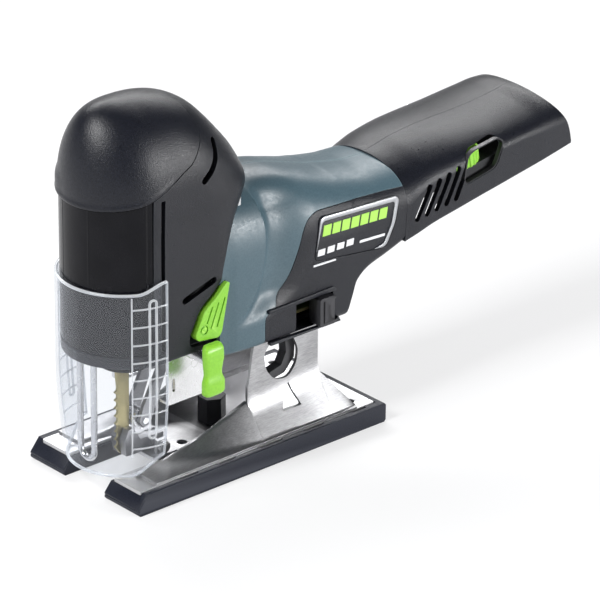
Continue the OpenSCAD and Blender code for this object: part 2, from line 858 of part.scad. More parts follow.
module base_plate() {
  color("#b9bbbd") centred() difference() {
    union() {
      both_sides() {
        slab([4, 60], [-foot_y, -slot_w / 2 - 1.5], plate_z);
        slab([80, 124], [-wall_y - 0.9, -wall_y + 0.9], [plate_z[0] + 1, 57.2]);
        panel([[80, -wall_y, 27], [122.5, -wall_y, 31], [137, -foot_y + 2, 8.8], [66, -foot_y + 2, 8.8]]);
        panel([[80, -wall_y, 27], [66, -foot_y + 2, 8.8], [20, -slot_w / 2 - 4, 9.3]]);
      }
      slab([45, 149.5], [-foot_y, foot_y], plate_z);
      slab([31, 46], [-13.5, 13.5], plate_z);
      both_sides() slab([35, 41], [-11.2, -9.4], [plate_z[1] - 0.1, 17]);
    }
    rod_y([-14, 14], 2 + fit, jaw_screw_c[0], jaw_screw_c[1]);
    translate([99, 0, 44.5]) rod_y([-40, 40], 9.5, 0, 0);
    side_slot([95, 44.5], [104, 44.5], 18, [-40, 40]);
    rod_z([5, 12], 2.6, 52, -9);
    base_holes();
    both_sides() side_prism([[104, 9], [116, 9], [112, 24]], [-40, -27]);
  }
}

module running_sole() {
  side = [
    [1, 0], [0, 1], [0, 3.6], [5.2, sole_t], [base_l - 1, sole_t], [base_l, sole_t - 1], [base_l, 1],
    [base_l - 1, 0]
  ];
  color("#303238") centred() difference() {
    side_prism(side, [-base_w / 2, base_w / 2]);
    slab([-5, 44], [-slot_w / 2, slot_w / 2], [-1, 20]);
    slab([3.4, 150], [-foot_y - 0.3, foot_y + 0.3], [plate_z[0], 20]);
    base_holes();
  }
}

module base_clamp_hook() {
  hook = [
    [86, 57.3], [86, 53], [89, 52], [92, 54.5], [106, 54.5], [107, 44], [104, 38], [96, 36], [97, 32],
    [106, 33.5], [112, 40], [113, 57.3]
  ];
  color("#3a3b40") centred() both_sides() side_prism(hook, [-20, -15]);
}

module base_stop_block() {
  color("#1d1e21") centred() difference() {
    translate([78, 0, plate_z[1]]) rotate([0, 0, 30]) cylinder(r = 6.8, h = 13, $fn = 6);
    rod_z([5, 30], 2.2, 78, 0);
  }
}

// ---------- guards ----------

guard_z = [11, 105];

module chip_guard() {
  ro = guard_r + guard_t;
  color([0.85, 0.88, 0.9, 0.35]) centred() translate([plunger_x, 0, 0]) rotate([0, 0, 90])
    rotate_extrude(angle = 180) polygon([
      [guard_r, guard_z[1]], [ro, guard_z[1]], [ro, 54], [ro - 1.6, 30], [ro - 4, guard_z[0]],
      [guard_r - 4, guard_z[0]], [guard_r - 1.6, 30], [guard_r, 54]
    ]);
}

wire_r = 1.5;

module finger_guard_wire() {
  color("#b9bbbd") centred() translate([2.5, 0, 0]) union() {
    both_sides() rod_z([20, 69.8], wire_r, 0, -5);
    translate([0, 0, 20]) rotate([90, 0, 90]) rotate([0, 0, 180]) rotate_extrude(angle = 180)
      translate([5, 0]) circle(r = wire_r);
  }
}

// ---------- controls ----------

module base_release_slider() {
  color("#232428") centred() difference() {
    union() {
      slab(slider_x, [-34, -28], slider_z);
      slab([slider_x[0] - 1, slider_x[1] - 1], [-28, -26], [slider_z[0] + 3, slider_z[1] - 3]);
    }
    rod_y([-40, -33.2], 5.5, slider_x[1] + 1.5, 65.7);
  }
}

module button_shape() {
  difference() {
    union() {
      side_prism(button_outline, [-31.4, -27.5]);
      rod_y([-27.5, -24.5], 3, 52, 83);
    }
    for (x = [49.5, 53, 56.5]) side_slot([x - 1, 80], [x + 1.5, 88], 0.9, [-40, -31]);
  }
}

module power_button_left() {
  color("#93d13c") centred() button_shape();
}

module power_button_right() {
  color("#93d13c") centred() right_of() button_shape();
}

module button_switches() {
  color("#1d1e21") centred() both_sides() difference() {
    slab([45, 58], [-21.6, -14], [86, 97]);
    slab([46, 57], [-30, -21], [89, 94]);
  }
}

module speed_wheel() {
  color("#93d13c") centred() on_dock() translate(wheel_at) difference() {
    cylinder(r = wheel_r, h = wheel_h);
    translate([0, 0, -1]) cylinder(r = wheel_pin_r + fit, h = 20);
    for (i = [0 : 23]) rotate([0, 0, 15 * i]) translate([wheel_r + 0.2, 0, -1]) cylinder(r = 0.6, h = 20);
  }
}

// ---------- electrics ----------

module electronics_board() {
  color("#2f5d3a") centred() union() {
    slab([92, 134], [-20, 20], [62, 63.6]);
    slab([96, 112], [-12, 4], [63.6, 71]);
    slab([118, 130], [-16, 10], [63.6, 70]);
    for (x = [114, 116]) rod_z([63.6, 69], 0.9, x, 13);
  }
}

// Dock for a slide-on battery: a plate with two rails and a terminal block
module battery_dock() {
  color("#232428") centred() on_dock() difference() {
    union() {
      slab([0, 88], [-28, 28], [0, 3]);
      both_sides() slab([22, 88], [-28, -25], [-9, 0]);
      both_sides() slab([22, 88], [-28, -22], [-9, -6.5]);
      slab([0, 6], [-27.5, 27.5], [-11, 0]);
      slab([6, 20], [-16, 16], [-9, 0]);
      rod_z([3, wheel_at[2] + wheel_h - 0.6], wheel_pin_r, wheel_at[0], wheel_at[1]);
    }
    for (y = [-10, -3.5, 3.5, 10]) slab([12, 21], [y - 0.6, y + 0.6], [-8, -1]);
  }
}

module screw_at(x, z, y) {
  difference() {
    union() {
      rod_y([y - 1.6, y], 3.4, x, z);
      rod_y([y - 9, y - 1.6], 1.6, x, z);
    }
    for (a = [0, 90]) translate([x, 0, z]) rotate([0, a, 0]) slab([-1.8, 1.8], [y - 0.7, y + 1], [-0.4, 0.4]);
  }
}

module housing_screws() {
  color("#a5a7aa") centred() for (s = screw_spots) screw_at(s[0], s[1], s[2]);
}

// ---------- assembly ----------

motor_housing_left();
motor_housing_right();
lower_housing_left();
lower_housing_right();
label_panel_left();
label_panel_right();
head_shell_left();
head_shell_right();
head_front_cover();
head_floor_plate();
handle_shell_left();
handle_shell_right();
release_hood();
hood_hinge_pin();
gearbox_housing();
gear_axle();
gear_bearing();
drive_gear();
crank_pin();
counterweight();
motor_stator();
stator_windings();
motor_end_cap();
motor_rotor();
motor_shaft();
motor_pinion();
motor_fan();
front_bearing();
rear_bearing();
plunger();
plunger_yoke();
upper_bush();
lower_bush();
plunger_collar();
blade_clamp();
saw_blade();
orbit_lever();
orbit_shaft();
pendulum_bracket();
fork_pivot_pin();
roller_fork();
roller_pin();
guide_roller();
guide_jaw_left();
guide_jaw_right();
jaw_screw();
base_plate();
running_sole();
base_clamp_hook();
base_stop_block();
chip_guard();
finger_guard_wire();
base_release_slider();
power_button_left();
power_button_right();
button_switches();
speed_wheel();
electronics_board();
battery_dock();
housing_screws();
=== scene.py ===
"""Looks of a cordless jigsaw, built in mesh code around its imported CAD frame."""
import json
import math

import bmesh
import bpy
import numpy as np
from mathutils import Matrix, Vector


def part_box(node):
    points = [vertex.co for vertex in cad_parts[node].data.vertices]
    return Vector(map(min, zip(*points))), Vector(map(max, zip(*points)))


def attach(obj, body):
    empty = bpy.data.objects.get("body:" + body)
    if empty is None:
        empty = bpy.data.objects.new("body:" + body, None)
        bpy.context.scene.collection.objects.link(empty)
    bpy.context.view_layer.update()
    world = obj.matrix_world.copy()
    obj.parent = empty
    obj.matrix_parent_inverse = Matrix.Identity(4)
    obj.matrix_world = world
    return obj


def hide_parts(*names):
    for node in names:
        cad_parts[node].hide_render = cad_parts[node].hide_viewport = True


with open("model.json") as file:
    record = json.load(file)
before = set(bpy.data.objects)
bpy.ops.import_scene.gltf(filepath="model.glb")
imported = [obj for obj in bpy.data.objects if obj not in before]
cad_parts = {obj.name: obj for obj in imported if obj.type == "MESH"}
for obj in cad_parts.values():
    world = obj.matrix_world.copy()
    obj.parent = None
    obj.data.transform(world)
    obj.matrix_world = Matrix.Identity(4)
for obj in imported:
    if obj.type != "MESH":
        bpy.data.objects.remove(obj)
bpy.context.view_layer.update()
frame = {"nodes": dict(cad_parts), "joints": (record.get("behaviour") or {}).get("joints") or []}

# Lengths below are millimetres from the front edge of the sole: x to the handle, y to the right, z up.
MM = 0.001
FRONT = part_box("running_sole")[0].x / MM
SOLE_WIDTH = (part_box("running_sole")[1].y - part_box("running_sole")[0].y) / MM
SOLE_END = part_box("running_sole")[1].x / MM - FRONT
SOLE_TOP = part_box("running_sole")[1].z / MM
HOOD_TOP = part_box("release_hood")[1].z / MM
LEFT, RIGHT = -1, 1

PLUNGER_X = 25.0
HEAD_R = 29.5
WALL = 2.5
SEAM = 0.22
SHELL_GAP = 0.15
# Distance from the middle plane that lies outside every part.
FAR = 60


def at(point):
    """A point in millimetres from the sole's front edge, in the frame's metres."""
    x, y, z = point
    return Vector(((x + FRONT) * MM, y * MM, z * MM))


# ---------- numbers and curves ----------


def smooth(table, x):
    """Monotone cubic through the rows of a table, whose first column is the running value."""
    table = np.array(table, float)
    xs, ys = table[:, 0], table[:, 1:]
    step = np.diff(xs)[:, None]
    rise = np.diff(ys, axis=0) / step
    slope = np.zeros_like(ys)
    slope[0], slope[-1] = rise[0], rise[-1]
    same_way = rise[:-1] * rise[1:] > 0
    mean = 2 * rise[:-1] * rise[1:] / np.where(same_way, rise[:-1] + rise[1:], 1)
    slope[1:-1] = np.where(same_way, mean, 0)
    x = np.clip(np.atleast_1d(np.asarray(x, float)), xs[0], xs[-1])
    i = np.clip(np.searchsorted(xs, x, side="right") - 1, 0, len(xs) - 2)
    h = step[i]
    t = (x - xs[i])[:, None] / h
    value = (
        ys[i] * (2 * t**3 - 3 * t**2 + 1)
        + ys[i + 1] * (3 * t**2 - 2 * t**3)
        + slope[i] * h * (t**3 - 2 * t**2 + t)
        + slope[i + 1] * h * (t**3 - t**2)
    )
    return value[:, 0] if value.shape[1] == 1 else value


def smooth_path(points, steps=6):
    """Catmull-Rom curve through points."""
    points = np.array(points, float)
    padded = np.vstack([2 * points[0] - points[1], points, 2 * points[-1] - points[-2]])
    out = []
    for i in range(len(points) - 1):
        a, b, c, d = padded[i : i + 4]
        for t in np.arange(steps) / steps:
            square = (2 * a - 5 * b + 4 * c - d) * t**2
            cube = (3 * b - a - 3 * c + d) * t**3
            out.append(0.5 * (2 * b + (c - a) * t + square + cube))
    out.append(points[-1])
    return np.array(out)


def corner_curve(corner, before, after, radius, share, count):
    """Points that round a corner, taking up no more than a share of the line on either side."""
    to_last, to_next = before - corner, after - corner
    reach = min(radius, share * np.linalg.norm(to_last), share * np.linalg.norm(to_next))
    a = corner + to_last / np.linalg.norm(to_last) * reach
    b = corner + to_next / np.linalg.norm(to_next) * reach
    return [(1 - t) ** 2 * a + 2 * t * (1 - t) * corner + t**2 * b for t in np.linspace(0, 1, count)]


def rounded(points, radius):
    """Closed outline with its corners rounded."""
    points = np.array(points, float)
    out = []
    for i, corner in enumerate(points):
        out += corner_curve(corner, points[i - 1], points[(i + 1) % len(points)], radius, 0.45, 6)
    return np.array(out)


def open_rounded(points, radii):
    """Open path whose inner corners are rounded, each with its own reach."""
    points = np.array(points, float)
    out = [points[0]]
    for i, radius in enumerate(radii):
        before, corner, after = points[i : i + 3]
        out += corner_curve(corner, before, after, radius, 0.48, 7)
    out.append(points[-1])
    return np.array(out)


def resampled(points, count):
    """The same path as evenly spaced points."""
    points = np.array(points, float)
    length = np.concatenate([[0], np.cumsum(np.linalg.norm(np.diff(points, axis=0), axis=1))])
    t = np.linspace(0, length[-1], count)
    return np.stack([np.interp(t, length, points[:, k]) for k in range(points.shape[1])], axis=1)


def grown(outline, by):
    """Outline with every point moved away from its middle."""
    points = np.array(outline, float)
    away = points - points.mean(0)
    return points + by * away / np.linalg.norm(away, axis=1, keepdims=True)


def circle(centre, radius, steps=36):
    """Closed outline of a circle."""
    return [
        (centre[0] + radius * math.cos(a), centre[1] + radius * math.sin(a))
        for a in np.linspace(0, 2 * math.pi, steps, endpoint=False)
    ]


def across(side, near, far=FAR):
    """Span between two distances from the middle plane, on one side of the tool."""
    return sorted((side * near, side * far))


def ease(t):
    """Soft step from 0 to 1."""
    t = np.clip(t, 0, 1)
    return t * t * (3 - 2 * t)


# ---------- meshes ----------


def add_object(name, data):
    obj = bpy.data.objects.new(name, data)
    bpy.context.scene.collection.objects.link(obj)
    return obj


def new_object(name, points, faces):
    """Mesh object from points in millimetres."""
    mesh = bpy.data.meshes.new(name)
    mesh.from_pydata([at(p) for p in points], [], faces)
    bm = bmesh.new()
    bm.from_mesh(mesh)
    bmesh.ops.remove_doubles(bm, verts=bm.verts, dist=1e-7)
    bmesh.ops.recalc_face_normals(bm, faces=bm.faces)
    bm.to_mesh(mesh)
    bm.free()
    return add_object(name, mesh)


def join(name, pieces):
    """One object from several."""
    bm = bmesh.new()
    for piece in pieces:
        bm.from_mesh(piece.data)
        bpy.data.objects.remove(piece)
    mesh = bpy.data.meshes.new(name)
    bm.to_mesh(mesh)
    bm.free()
    return add_object(name, mesh)


def bake_modifiers(obj):
    """Gives the object the mesh that its modifiers make."""
    graph = bpy.context.evaluated_depsgraph_get()
    mesh = bpy.data.meshes.new_from_object(obj.evaluated_get(graph))
    obj.modifiers.clear()
    obj.data = mesh


def boolean(obj, other, operation):
    """Applies an exact boolean, then removes the tool."""
    modifier = obj.modifiers.new("boolean", "BOOLEAN")
    modifier.solver = "EXACT"
    modifier.operation = operation
    modifier.object = other
    bake_modifiers(obj)
    bpy.data.objects.remove(other)


def cut(obj, *tools):
    """Takes the tools' shapes away from a piece."""
    for tool in tools:
        boolean(obj, tool, "DIFFERENCE")


def round_edges(obj, width, segments=2):
    """Bevels the sharp edges of a piece."""
    modifier = obj.modifiers.new("bevel", "BEVEL")
    modifier.width = width * MM
    modifier.segments = segments
    modifier.limit_method = "ANGLE"
    modifier.angle_limit = math.radians(35)
    bake_modifiers(obj)


def finish_piece(obj, body, material, replaces=(), sharp=32):
    """Shades a piece, gives it its material and makes it ride on its body."""
    obj.data.materials.clear()
    obj.data.materials.append(material)
    obj.data.shade_smooth()
    obj.data.set_sharp_from_angle(angle=math.radians(sharp))
    if replaces:
        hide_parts(*replaces)
    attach(obj, body)
    return obj


def prism(outline, y0, y1, name="tool"):
    """Side-view outline of x, z points given thickness across the tool."""
    n = len(outline)
    points = [(x, y0, z) for x, z in outline] + [(x, y1, z) for x, z in outline]
    faces = [tuple(range(n)), tuple(range(2 * n - 1, n - 1, -1))]
    faces += [(i, i + n, (i + 1) % n + n, (i + 1) % n) for i in range(n)]
    return new_object(name, points, faces)


def plan_prism(outline, z0, z1, name="tool"):
    """Plan outline of x, y points given height."""
    n = len(outline)
    points = [(x, y, z0) for x, y in outline] + [(x, y, z1) for x, y in outline]
    faces = [tuple(range(n - 1, -1, -1)), tuple(range(n, 2 * n))]
    faces += [(i, (i + 1) % n, (i + 1) % n + n, i + n) for i in range(n)]
    return new_object(name, points, faces)


def block(x, y, z):
    """Box between two values along each axis."""
    return prism([(x[0], z[0]), (x[1], z[0]), (x[1], z[1]), (x[0], z[1])], *y)


def slot_outline(a, b, width, steps=8):
    """Slot with round ends between two side-view points."""
    a, b = np.array(a, float), np.array(b, float)
    turn = math.atan2(b[1] - a[1], b[0] - a[0])
    out = []
    for centre, start in ((b, turn - math.pi / 2), (a, turn + math.pi / 2)):
        for t in np.linspace(0, math.pi, steps):
            out.append(centre + width / 2 * np.array([math.cos(start + t), math.sin(start + t)]))
    return out


def curved_slot(points, width):
    """Outline of a slot with round ends along a curve."""
    path = smooth_path(points)
    along = np.gradient(path, axis=0)
    sideways = np.stack([-along[:, 1], along[:, 0]], axis=1)
    sideways /= np.linalg.norm(sideways, axis=1, keepdims=True)
    half = width / 2
    ends = []
    for point, way, sign in ((path[-1], sideways[-1], 1), (path[0], sideways[0], -1)):
        forward = np.array([way[1], -way[0]]) * sign
        turns = (0.5, 1.1, 1.57, 2.04, 2.6)
        ends.append([point + half * (math.cos(a) * sign * way + math.sin(a) * forward) for a in turns])
    return [*(path + half * sideways), *ends[0], *(path[::-1] - half * sideways[::-1]), *ends[1]]


def grid_faces(rows, columns, wrap=False, start=0):
    """Quads of a grid of points, wrapped round or open."""
    steps = columns if wrap else columns - 1
    faces = []
    for i in range(rows - 1):
        a, b = start + i * columns, start + (i + 1) * columns
        for j in range(steps):
            k = (j + 1) % columns
            faces.append((a + j, a + k, b + k, b + j))
    return faces


def loop_faces(rows, columns):
    """Quads of a grid that closes on itself both ways."""
    last = (rows - 1) * columns
    closing = [(last + j, last + (j + 1) % columns, (j + 1) % columns, j) for j in range(columns)]
    return grid_faces(rows, columns, wrap=True) + closing


def grid_normals(grid, wrap=False):
    """Outward normal at each point of a grid."""
    if wrap:
        padded = np.concatenate([grid[:, -1:], grid, grid[:, :1]], axis=1)
        sideways = np.gradient(padded, axis=1)[:, 1:-1]
    else:
        sideways = np.gradient(grid, axis=1)
    normal = np.cross(sideways, np.gradient(grid, axis=0))
    normal /= np.maximum(np.linalg.norm(normal, axis=2, keepdims=True), 1e-9)
    outward = grid - grid.reshape(-1, 3).mean(0)
    return normal if (normal * outward).sum() > 0 else -normal


def shell_between(name, outer, inner, wrap=False, cap_last=False):
    """Closed solid between two grids of the same size."""
    rows, columns, _ = outer.shape
    count = rows * columns
    points = np.vstack([outer.reshape(-1, 3), inner.reshape(-1, 3)])
    faces = grid_faces(rows, columns, wrap)
    faces += [f[::-1] for f in grid_faces(rows, columns, wrap, count)]
    last = (rows - 1) * columns
    for j in range(columns if wrap else columns - 1):
        k = (j + 1) % columns
        faces.append((j, count + j, count + k, k))
        if not cap_last:
            faces.append((last + j, last + k, count + last + k, count + last + j))
    if cap_last:
        faces.append(tuple(last + j for j in range(columns)))
        faces.append(tuple(count + last + j for j in range(columns - 1, -1, -1)))
    if not wrap:
        for i in range(rows - 1):
            a, b = i * columns, (i + 1) * columns
            c, d = a + columns - 1, b + columns - 1
            faces.append((a, b, count + b, count + a))
            faces.append((c, count + c, count + d, d))
    return new_object(name, points, faces)


def thick_shell(name, grid, thickness, wrap=False, cap_last=False):
    """Closed solid between a grid of outer points and the same grid moved inwards."""
    inner = grid - grid_normals(grid, wrap) * thickness
    return shell_between(name, grid, inner, wrap, cap_last)


def solid_grid(name, grid):
    """Closed solid through rings of points, one above the other."""
    rows, columns, _ = grid.shape
    faces = grid_faces(rows, columns, wrap=True)
    faces.append(tuple(range(columns - 1, -1, -1)))
    faces.append(tuple((rows - 1) * columns + j for j in range(columns)))
    return new_object(name, grid.reshape(-1, 3), faces)


def station(x, section):
    """Points of a y, z section at x."""
    return np.column_stack([np.full(len(section), x), section])


def side_grid(grid, side):
    """A grid of the left half, mirrored for the right half."""
    return grid if side == LEFT else grid * np.array([1, -1, 1])


# ---------- materials ----------


class Nodes:
    """Short way to build a node material."""

    def __init__(self, name):
        self.material = bpy.data.materials.new(name)
        self.material.use_nodes = True
        self.tree = self.material.node_tree
        self.tree.nodes.clear()
        self.output = self.tree.nodes.new("ShaderNodeOutputMaterial")
        self.shader = self.tree.nodes.new("ShaderNodeBsdfPrincipled")
        self.link(self.shader.outputs[0], self.output.inputs["Surface"])
        self.place = self.tree.nodes.new("ShaderNodeTexCoord").outputs["Object"]

    def link(self, a, b):
        self.tree.links.new(a, b)

    def set(self, **values):
        for key, value in values.items():
            self.shader.inputs[key.replace("_", " ")].default_value = value

    def stretched(self, scale, turn=(0, 0, 0)):
        mapping = self.tree.nodes.new("ShaderNodeMapping")
        mapping.inputs["Scale"].default_value = scale
        mapping.inputs["Rotation"].default_value = [math.radians(a) for a in turn]
        self.link(self.place, mapping.inputs["Vector"])
        return mapping.outputs[0]

    def noise(self, scale, detail=2.0, rough=0.5, vector=None):
        node = self.tree.nodes.new("ShaderNodeTexNoise")
        node.inputs["Scale"].default_value = scale
        node.inputs["Detail"].default_value = detail
        node.inputs["Roughness"].default_value = rough
        self.link(vector or self.place, node.inputs["Vector"])
        return node.outputs["Fac"]

    def ramp(self, factor, *stops):
        node = self.tree.nodes.new("ShaderNodeValToRGB")
        elements = node.color_ramp.elements
        while len(elements) < len(stops):
            elements.new(0.5)
        for element, (place, colour) in zip(elements, stops):
            element.position = place
            shade = colour if hasattr(colour, "__len__") else (colour,) * 3
            element.color = (*shade, 1)
        self.link(factor, node.inputs["Fac"])
        return node.outputs["Color"]

    def mix(self, factor, a, b):
        node = self.tree.nodes.new("ShaderNodeMix")
        node.data_type = "RGBA"
        for socket, value in ((node.inputs[0], factor), (node.inputs[6], a), (node.inputs[7], b)):
            if isinstance(value, bpy.types.NodeSocket):
                self.link(value, socket)
            elif hasattr(value, "__len__"):
                socket.default_value = (*value, 1)
            else:
                socket.default_value = value
        return node.outputs[2]

    def edges(self, low, high):
        """Mask that is 1 on convex edges."""
        geometry = self.tree.nodes.new("ShaderNodeNewGeometry")
        return self.ramp(geometry.outputs["Pointiness"], (low, 0.0), (high, 1.0))

    def bump(self, height, distance, strength=1.0, rounding=0.0):
        node = self.tree.nodes.new("ShaderNodeBump")
        node.inputs["Distance"].default_value = distance * MM
        node.inputs["Strength"].default_value = strength
        self.link(height, node.inputs["Height"])
        if rounding:
            bevel = self.tree.nodes.new("ShaderNodeBevel")
            bevel.samples = 4
            bevel.inputs["Radius"].default_value = rounding * MM
            self.link(bevel.outputs[0], node.inputs["Normal"])
        self.link(node.outputs[0], self.shader.inputs["Normal"])


def moulded_plastic(name, dark, light, worn, roughness, grain_size, grain_depth, spread=0.08, specular=0.5):
    """Moulded plastic: spark-eroded grain, faint colour drift and slightly polished edges."""
    n = Nodes(name)
    grain = n.noise(1000 / grain_size, 2.5, 0.6)
    drift = n.noise(24, 3)
    speck = n.ramp(grain, (0.30, dark), (0.72, light))
    tone = n.mix(n.ramp(drift, (0.3, 0.0), (0.7, 0.22)), speck, [c * 0.8 for c in dark])
    colour = n.mix(n.edges(0.53, 0.62), tone, worn)
    n.link(colour, n.shader.inputs["Base Color"])
    sheen = n.noise(1000 / grain_size * 0.45, 3)
    rough = n.ramp(sheen, (0.25, roughness - spread), (0.75, roughness + spread))
    n.link(rough, n.shader.inputs["Roughness"])
    n.bump(grain, grain_depth, rounding=0.35)
    n.set(IOR=1.5, Specular_IOR_Level=specular)
    return n.material


def gloss_plastic(name, dark, light, roughness):
    """Polished dark plastic with faint moulding waves and fine dust scratches."""
    n = Nodes(name)
    waves = n.noise(60, 2)
    scratch = n.noise(900, 3, 0.65, n.stretched((1, 1, 0.08), (20, 12, 0)))
    n.link(n.mix(n.ramp(waves, (0.35, 0.0), (0.7, 1.0)), dark, light), n.shader.inputs["Base Color"])
    n.link(n.ramp(scratch, (0.3, roughness), (0.75, roughness + 0.14)), n.shader.inputs["Roughness"])
    n.bump(waves, 0.05, 0.3, rounding=0.3)
    n.set(IOR=1.5, Specular_IOR_Level=0.16)
    return n.material


def brushed_metal(name, dark, light, roughness, streak, spots=0.25, depth=0.02):
    """Rolled or ground metal: fine streaks, cloudy tone and small handling marks."""
    n = Nodes(name)
    streaks = n.noise(260, 4, 0.7, n.stretched(streak))
    clouds = n.noise(45, 3, 0.6)
    marks = n.noise(420, 2, 0.6)
    base = n.mix(n.ramp(streaks, (0.3, 0.0), (0.7, 1.0)), dark, light)
    stained = n.mix(n.ramp(clouds, (0.35, 0.0), (0.75, spots)), base, [c * 0.55 for c in dark])
    polished = [min(1, c * 1.15) for c in light]
    n.link(n.mix(n.edges(0.54, 0.66), stained, polished), n.shader.inputs["Base Color"])
    rough = n.mix(0.5, n.ramp(streaks, (0.25, roughness - 0.1), (0.8, roughness + 0.12)), marks)
    n.link(n.mix(0.75, rough, (roughness,) * 3), n.shader.inputs["Roughness"])
    n.bump(n.mix(0.4, streaks, marks), depth, 0.6, rounding=0.25)
    n.set(Metallic=1.0)
    return n.material


def clear_plastic(name, facing_cover, grazing_cover, shade):
    """Clear polycarbonate: see-through face on, whitish and shiny where seen edge on."""
    n = Nodes(name)
    facing = n.tree.nodes.new("ShaderNodeLayerWeight")
    facing.inputs["Blend"].default_value = 0.5
    haze = n.noise(35, 3)
    scuffs = n.noise(700, 3, 0.7, n.stretched((1, 1, 0.1), (15, 0, 0)))
    n.link(n.mix(haze, [c * 0.92 for c in shade], shade), n.shader.inputs["Base Color"])
    n.link(n.ramp(scuffs, (0.35, 0.06), (0.8, 0.16)), n.shader.inputs["Roughness"])
    n.bump(scuffs, 0.002, 0.3, rounding=0.2)
    n.set(IOR=1.58, Specular_IOR_Level=0.8)
    see_through = n.tree.nodes.new("ShaderNodeBsdfTransparent")
    see_through.inputs["Color"].default_value = (0.95, 0.96, 0.975, 1)
    body = n.tree.nodes.new("ShaderNodeMixShader")
    stops = (0.3, facing_cover), (0.65, facing_cover * 2), (0.92, grazing_cover * 0.6), (1.0, grazing_cover)
    cover = n.ramp(facing.outputs["Facing"], *stops)
    n.link(cover, body.inputs[0])
    n.link(see_through.outputs[0], body.inputs[1])
    n.link(n.shader.outputs[0], body.inputs[2])
    n.link(body.outputs[0], n.output.inputs["Surface"])
    return n.material


PLASTICS = {
    # finish: name, dark, light, worn edges, roughness, grain size, grain depth, roughness spread, specular
    "grained": (
        "grained_plastic", (0.0028, 0.0030, 0.0050), (0.013, 0.0148, 0.023), (0.04, 0.043, 0.05),
        0.34, 0.5, 0.16, 0.08, 0.34,
    ),
    "petrol": (
        "petrol_plastic", (0.050, 0.092, 0.116), (0.074, 0.126, 0.154), (0.12, 0.19, 0.22), 0.40, 0.8, 0.045,
    ),
    "green": (
        "green_plastic", (0.21, 0.52, 0.03), (0.26, 0.60, 0.04), (0.38, 0.72, 0.10), 0.36, 1.2, 0.02, 0.05,
    ),
    "soft_black": (
        "soft_black", (0.004, 0.004, 0.006), (0.012, 0.012, 0.015), (0.04, 0.04, 0.045),
        0.36, 0.7, 0.05, 0.08, 0.3,
    ),
    "sole": (
        "sole_plastic", (0.004, 0.005, 0.010), (0.018, 0.021, 0.034), (0.04, 0.043, 0.055),
        0.38, 0.5, 0.08, 0.08, 0.18,
    ),
    "inner": (
        "inner_plastic", (0.010, 0.010, 0.012), (0.025, 0.026, 0.030), (0.05, 0.05, 0.055), 0.55, 1.0, 0.05,
    ),
    "pale_print": (
        "pale_print", (0.58, 0.60, 0.62), (0.70, 0.72, 0.74), (0.75, 0.76, 0.78), 0.45, 1.0, 0.02,
    ),
    "board": (
        "solder_mask", (0.02, 0.11, 0.04), (0.05, 0.19, 0.08), (0.30, 0.27, 0.12), 0.3, 2.0, 0.05,
    ),
}
METALS = {
    # finish: name, dark, light, roughness, stretch of the streaks, strength of the stains, relief
    "base": ("base_metal", (0.30, 0.30, 0.31), (0.54, 0.54, 0.55), 0.40, (1, 12, 12), 0.5),
    "steel": ("bright_steel", (0.52, 0.52, 0.53), (0.80, 0.80, 0.81), 0.22, (14, 14, 1)),
    "gear": ("gear_steel", (0.17, 0.17, 0.18), (0.34, 0.34, 0.35), 0.34, (1, 14, 14)),
    "blade": ("blade_steel", (0.25, 0.21, 0.09), (0.42, 0.37, 0.19), 0.36, (14, 14, 1)),
    "cast": ("cast_alloy", (0.30, 0.31, 0.32), (0.46, 0.47, 0.48), 0.5, (1, 1, 1), 0.25, 0.08),
    "bronze": ("sintered_bronze", (0.42, 0.26, 0.10), (0.62, 0.42, 0.18), 0.42, (1, 1, 1)),
    "copper": ("enamelled_copper", (0.48, 0.18, 0.07), (0.74, 0.34, 0.16), 0.30, (30, 1, 1)),
    "label": ("label_silver", (0.36, 0.37, 0.39), (0.52, 0.53, 0.55), 0.36, (1, 14, 14)),
}


def make_materials():
    """Every material by its finish."""
    materials = {finish: moulded_plastic(*values) for finish, values in PLASTICS.items()}
    materials |= {finish: brushed_metal(*values) for finish, values in METALS.items()}
    materials["gloss"] = gloss_plastic("gloss_black", (0.0025, 0.0025, 0.004), (0.005, 0.005, 0.007), 0.16)
    materials["clear"] = clear_plastic("clear_plastic", 0.05, 0.42, (0.66, 0.68, 0.72))
    # Whiter, more opaque copy of the clear plastic for the guard's rungs and rims: a painted highlight, so
    # that they read as bright lines.
    materials["milky"] = clear_plastic("clear_plastic_painted_highlight", 0.34, 0.8, (0.90, 0.92, 0.94))
    return materials


# ---------- head and hood ----------

# The seam rises towards the rear as far as x = 50, then bends round the hood's pivot.
SEAM_FRONT = [
    (-16, 142.6), (-12, 143.5), (12, 147), (23, 151), (29, 154), (36, 158), (42, 161), (47, 166), (50, 170),
]
SEAM_REAR = [(51, 175), (50.8, 178), (50.6, 180.5), (49.9, 183.3), (48.4, 184.9), (46, 188), (44, 200)]
SEAM_STEPS = 5
DOME_START = 150.0
DOME_MIDDLE = 24.0
DOME_R = 29.9
DOME_STRAIGHT = 0.32


def head_ring(front, rear, radius, squareness, straight):
    """Half plan section, from the middle of the front round the left side to the middle of the rear."""
    a = np.linspace(0, math.pi / 2, 36, endpoint=False)
    widest = PLUNGER_X
    x_front = widest - (widest - front) * np.cos(a)
    y_front = -radius * np.sin(a)
    x0 = widest + (rear - widest) * straight
    x_flat = np.linspace(widest, x0, 12, endpoint=False)
    b = np.linspace(math.pi / 2, 0, 36)
    x_rear = x0 + (rear - x0) * np.cos(b) ** (2 / squareness)
    y_rear = -radius * np.sin(b) ** (2 / squareness)
    x = np.concatenate([x_front, x_flat, x_rear])
    y = np.concatenate([y_front, np.full(12, -radius), y_rear])
    return np.stack([x, y], axis=1)


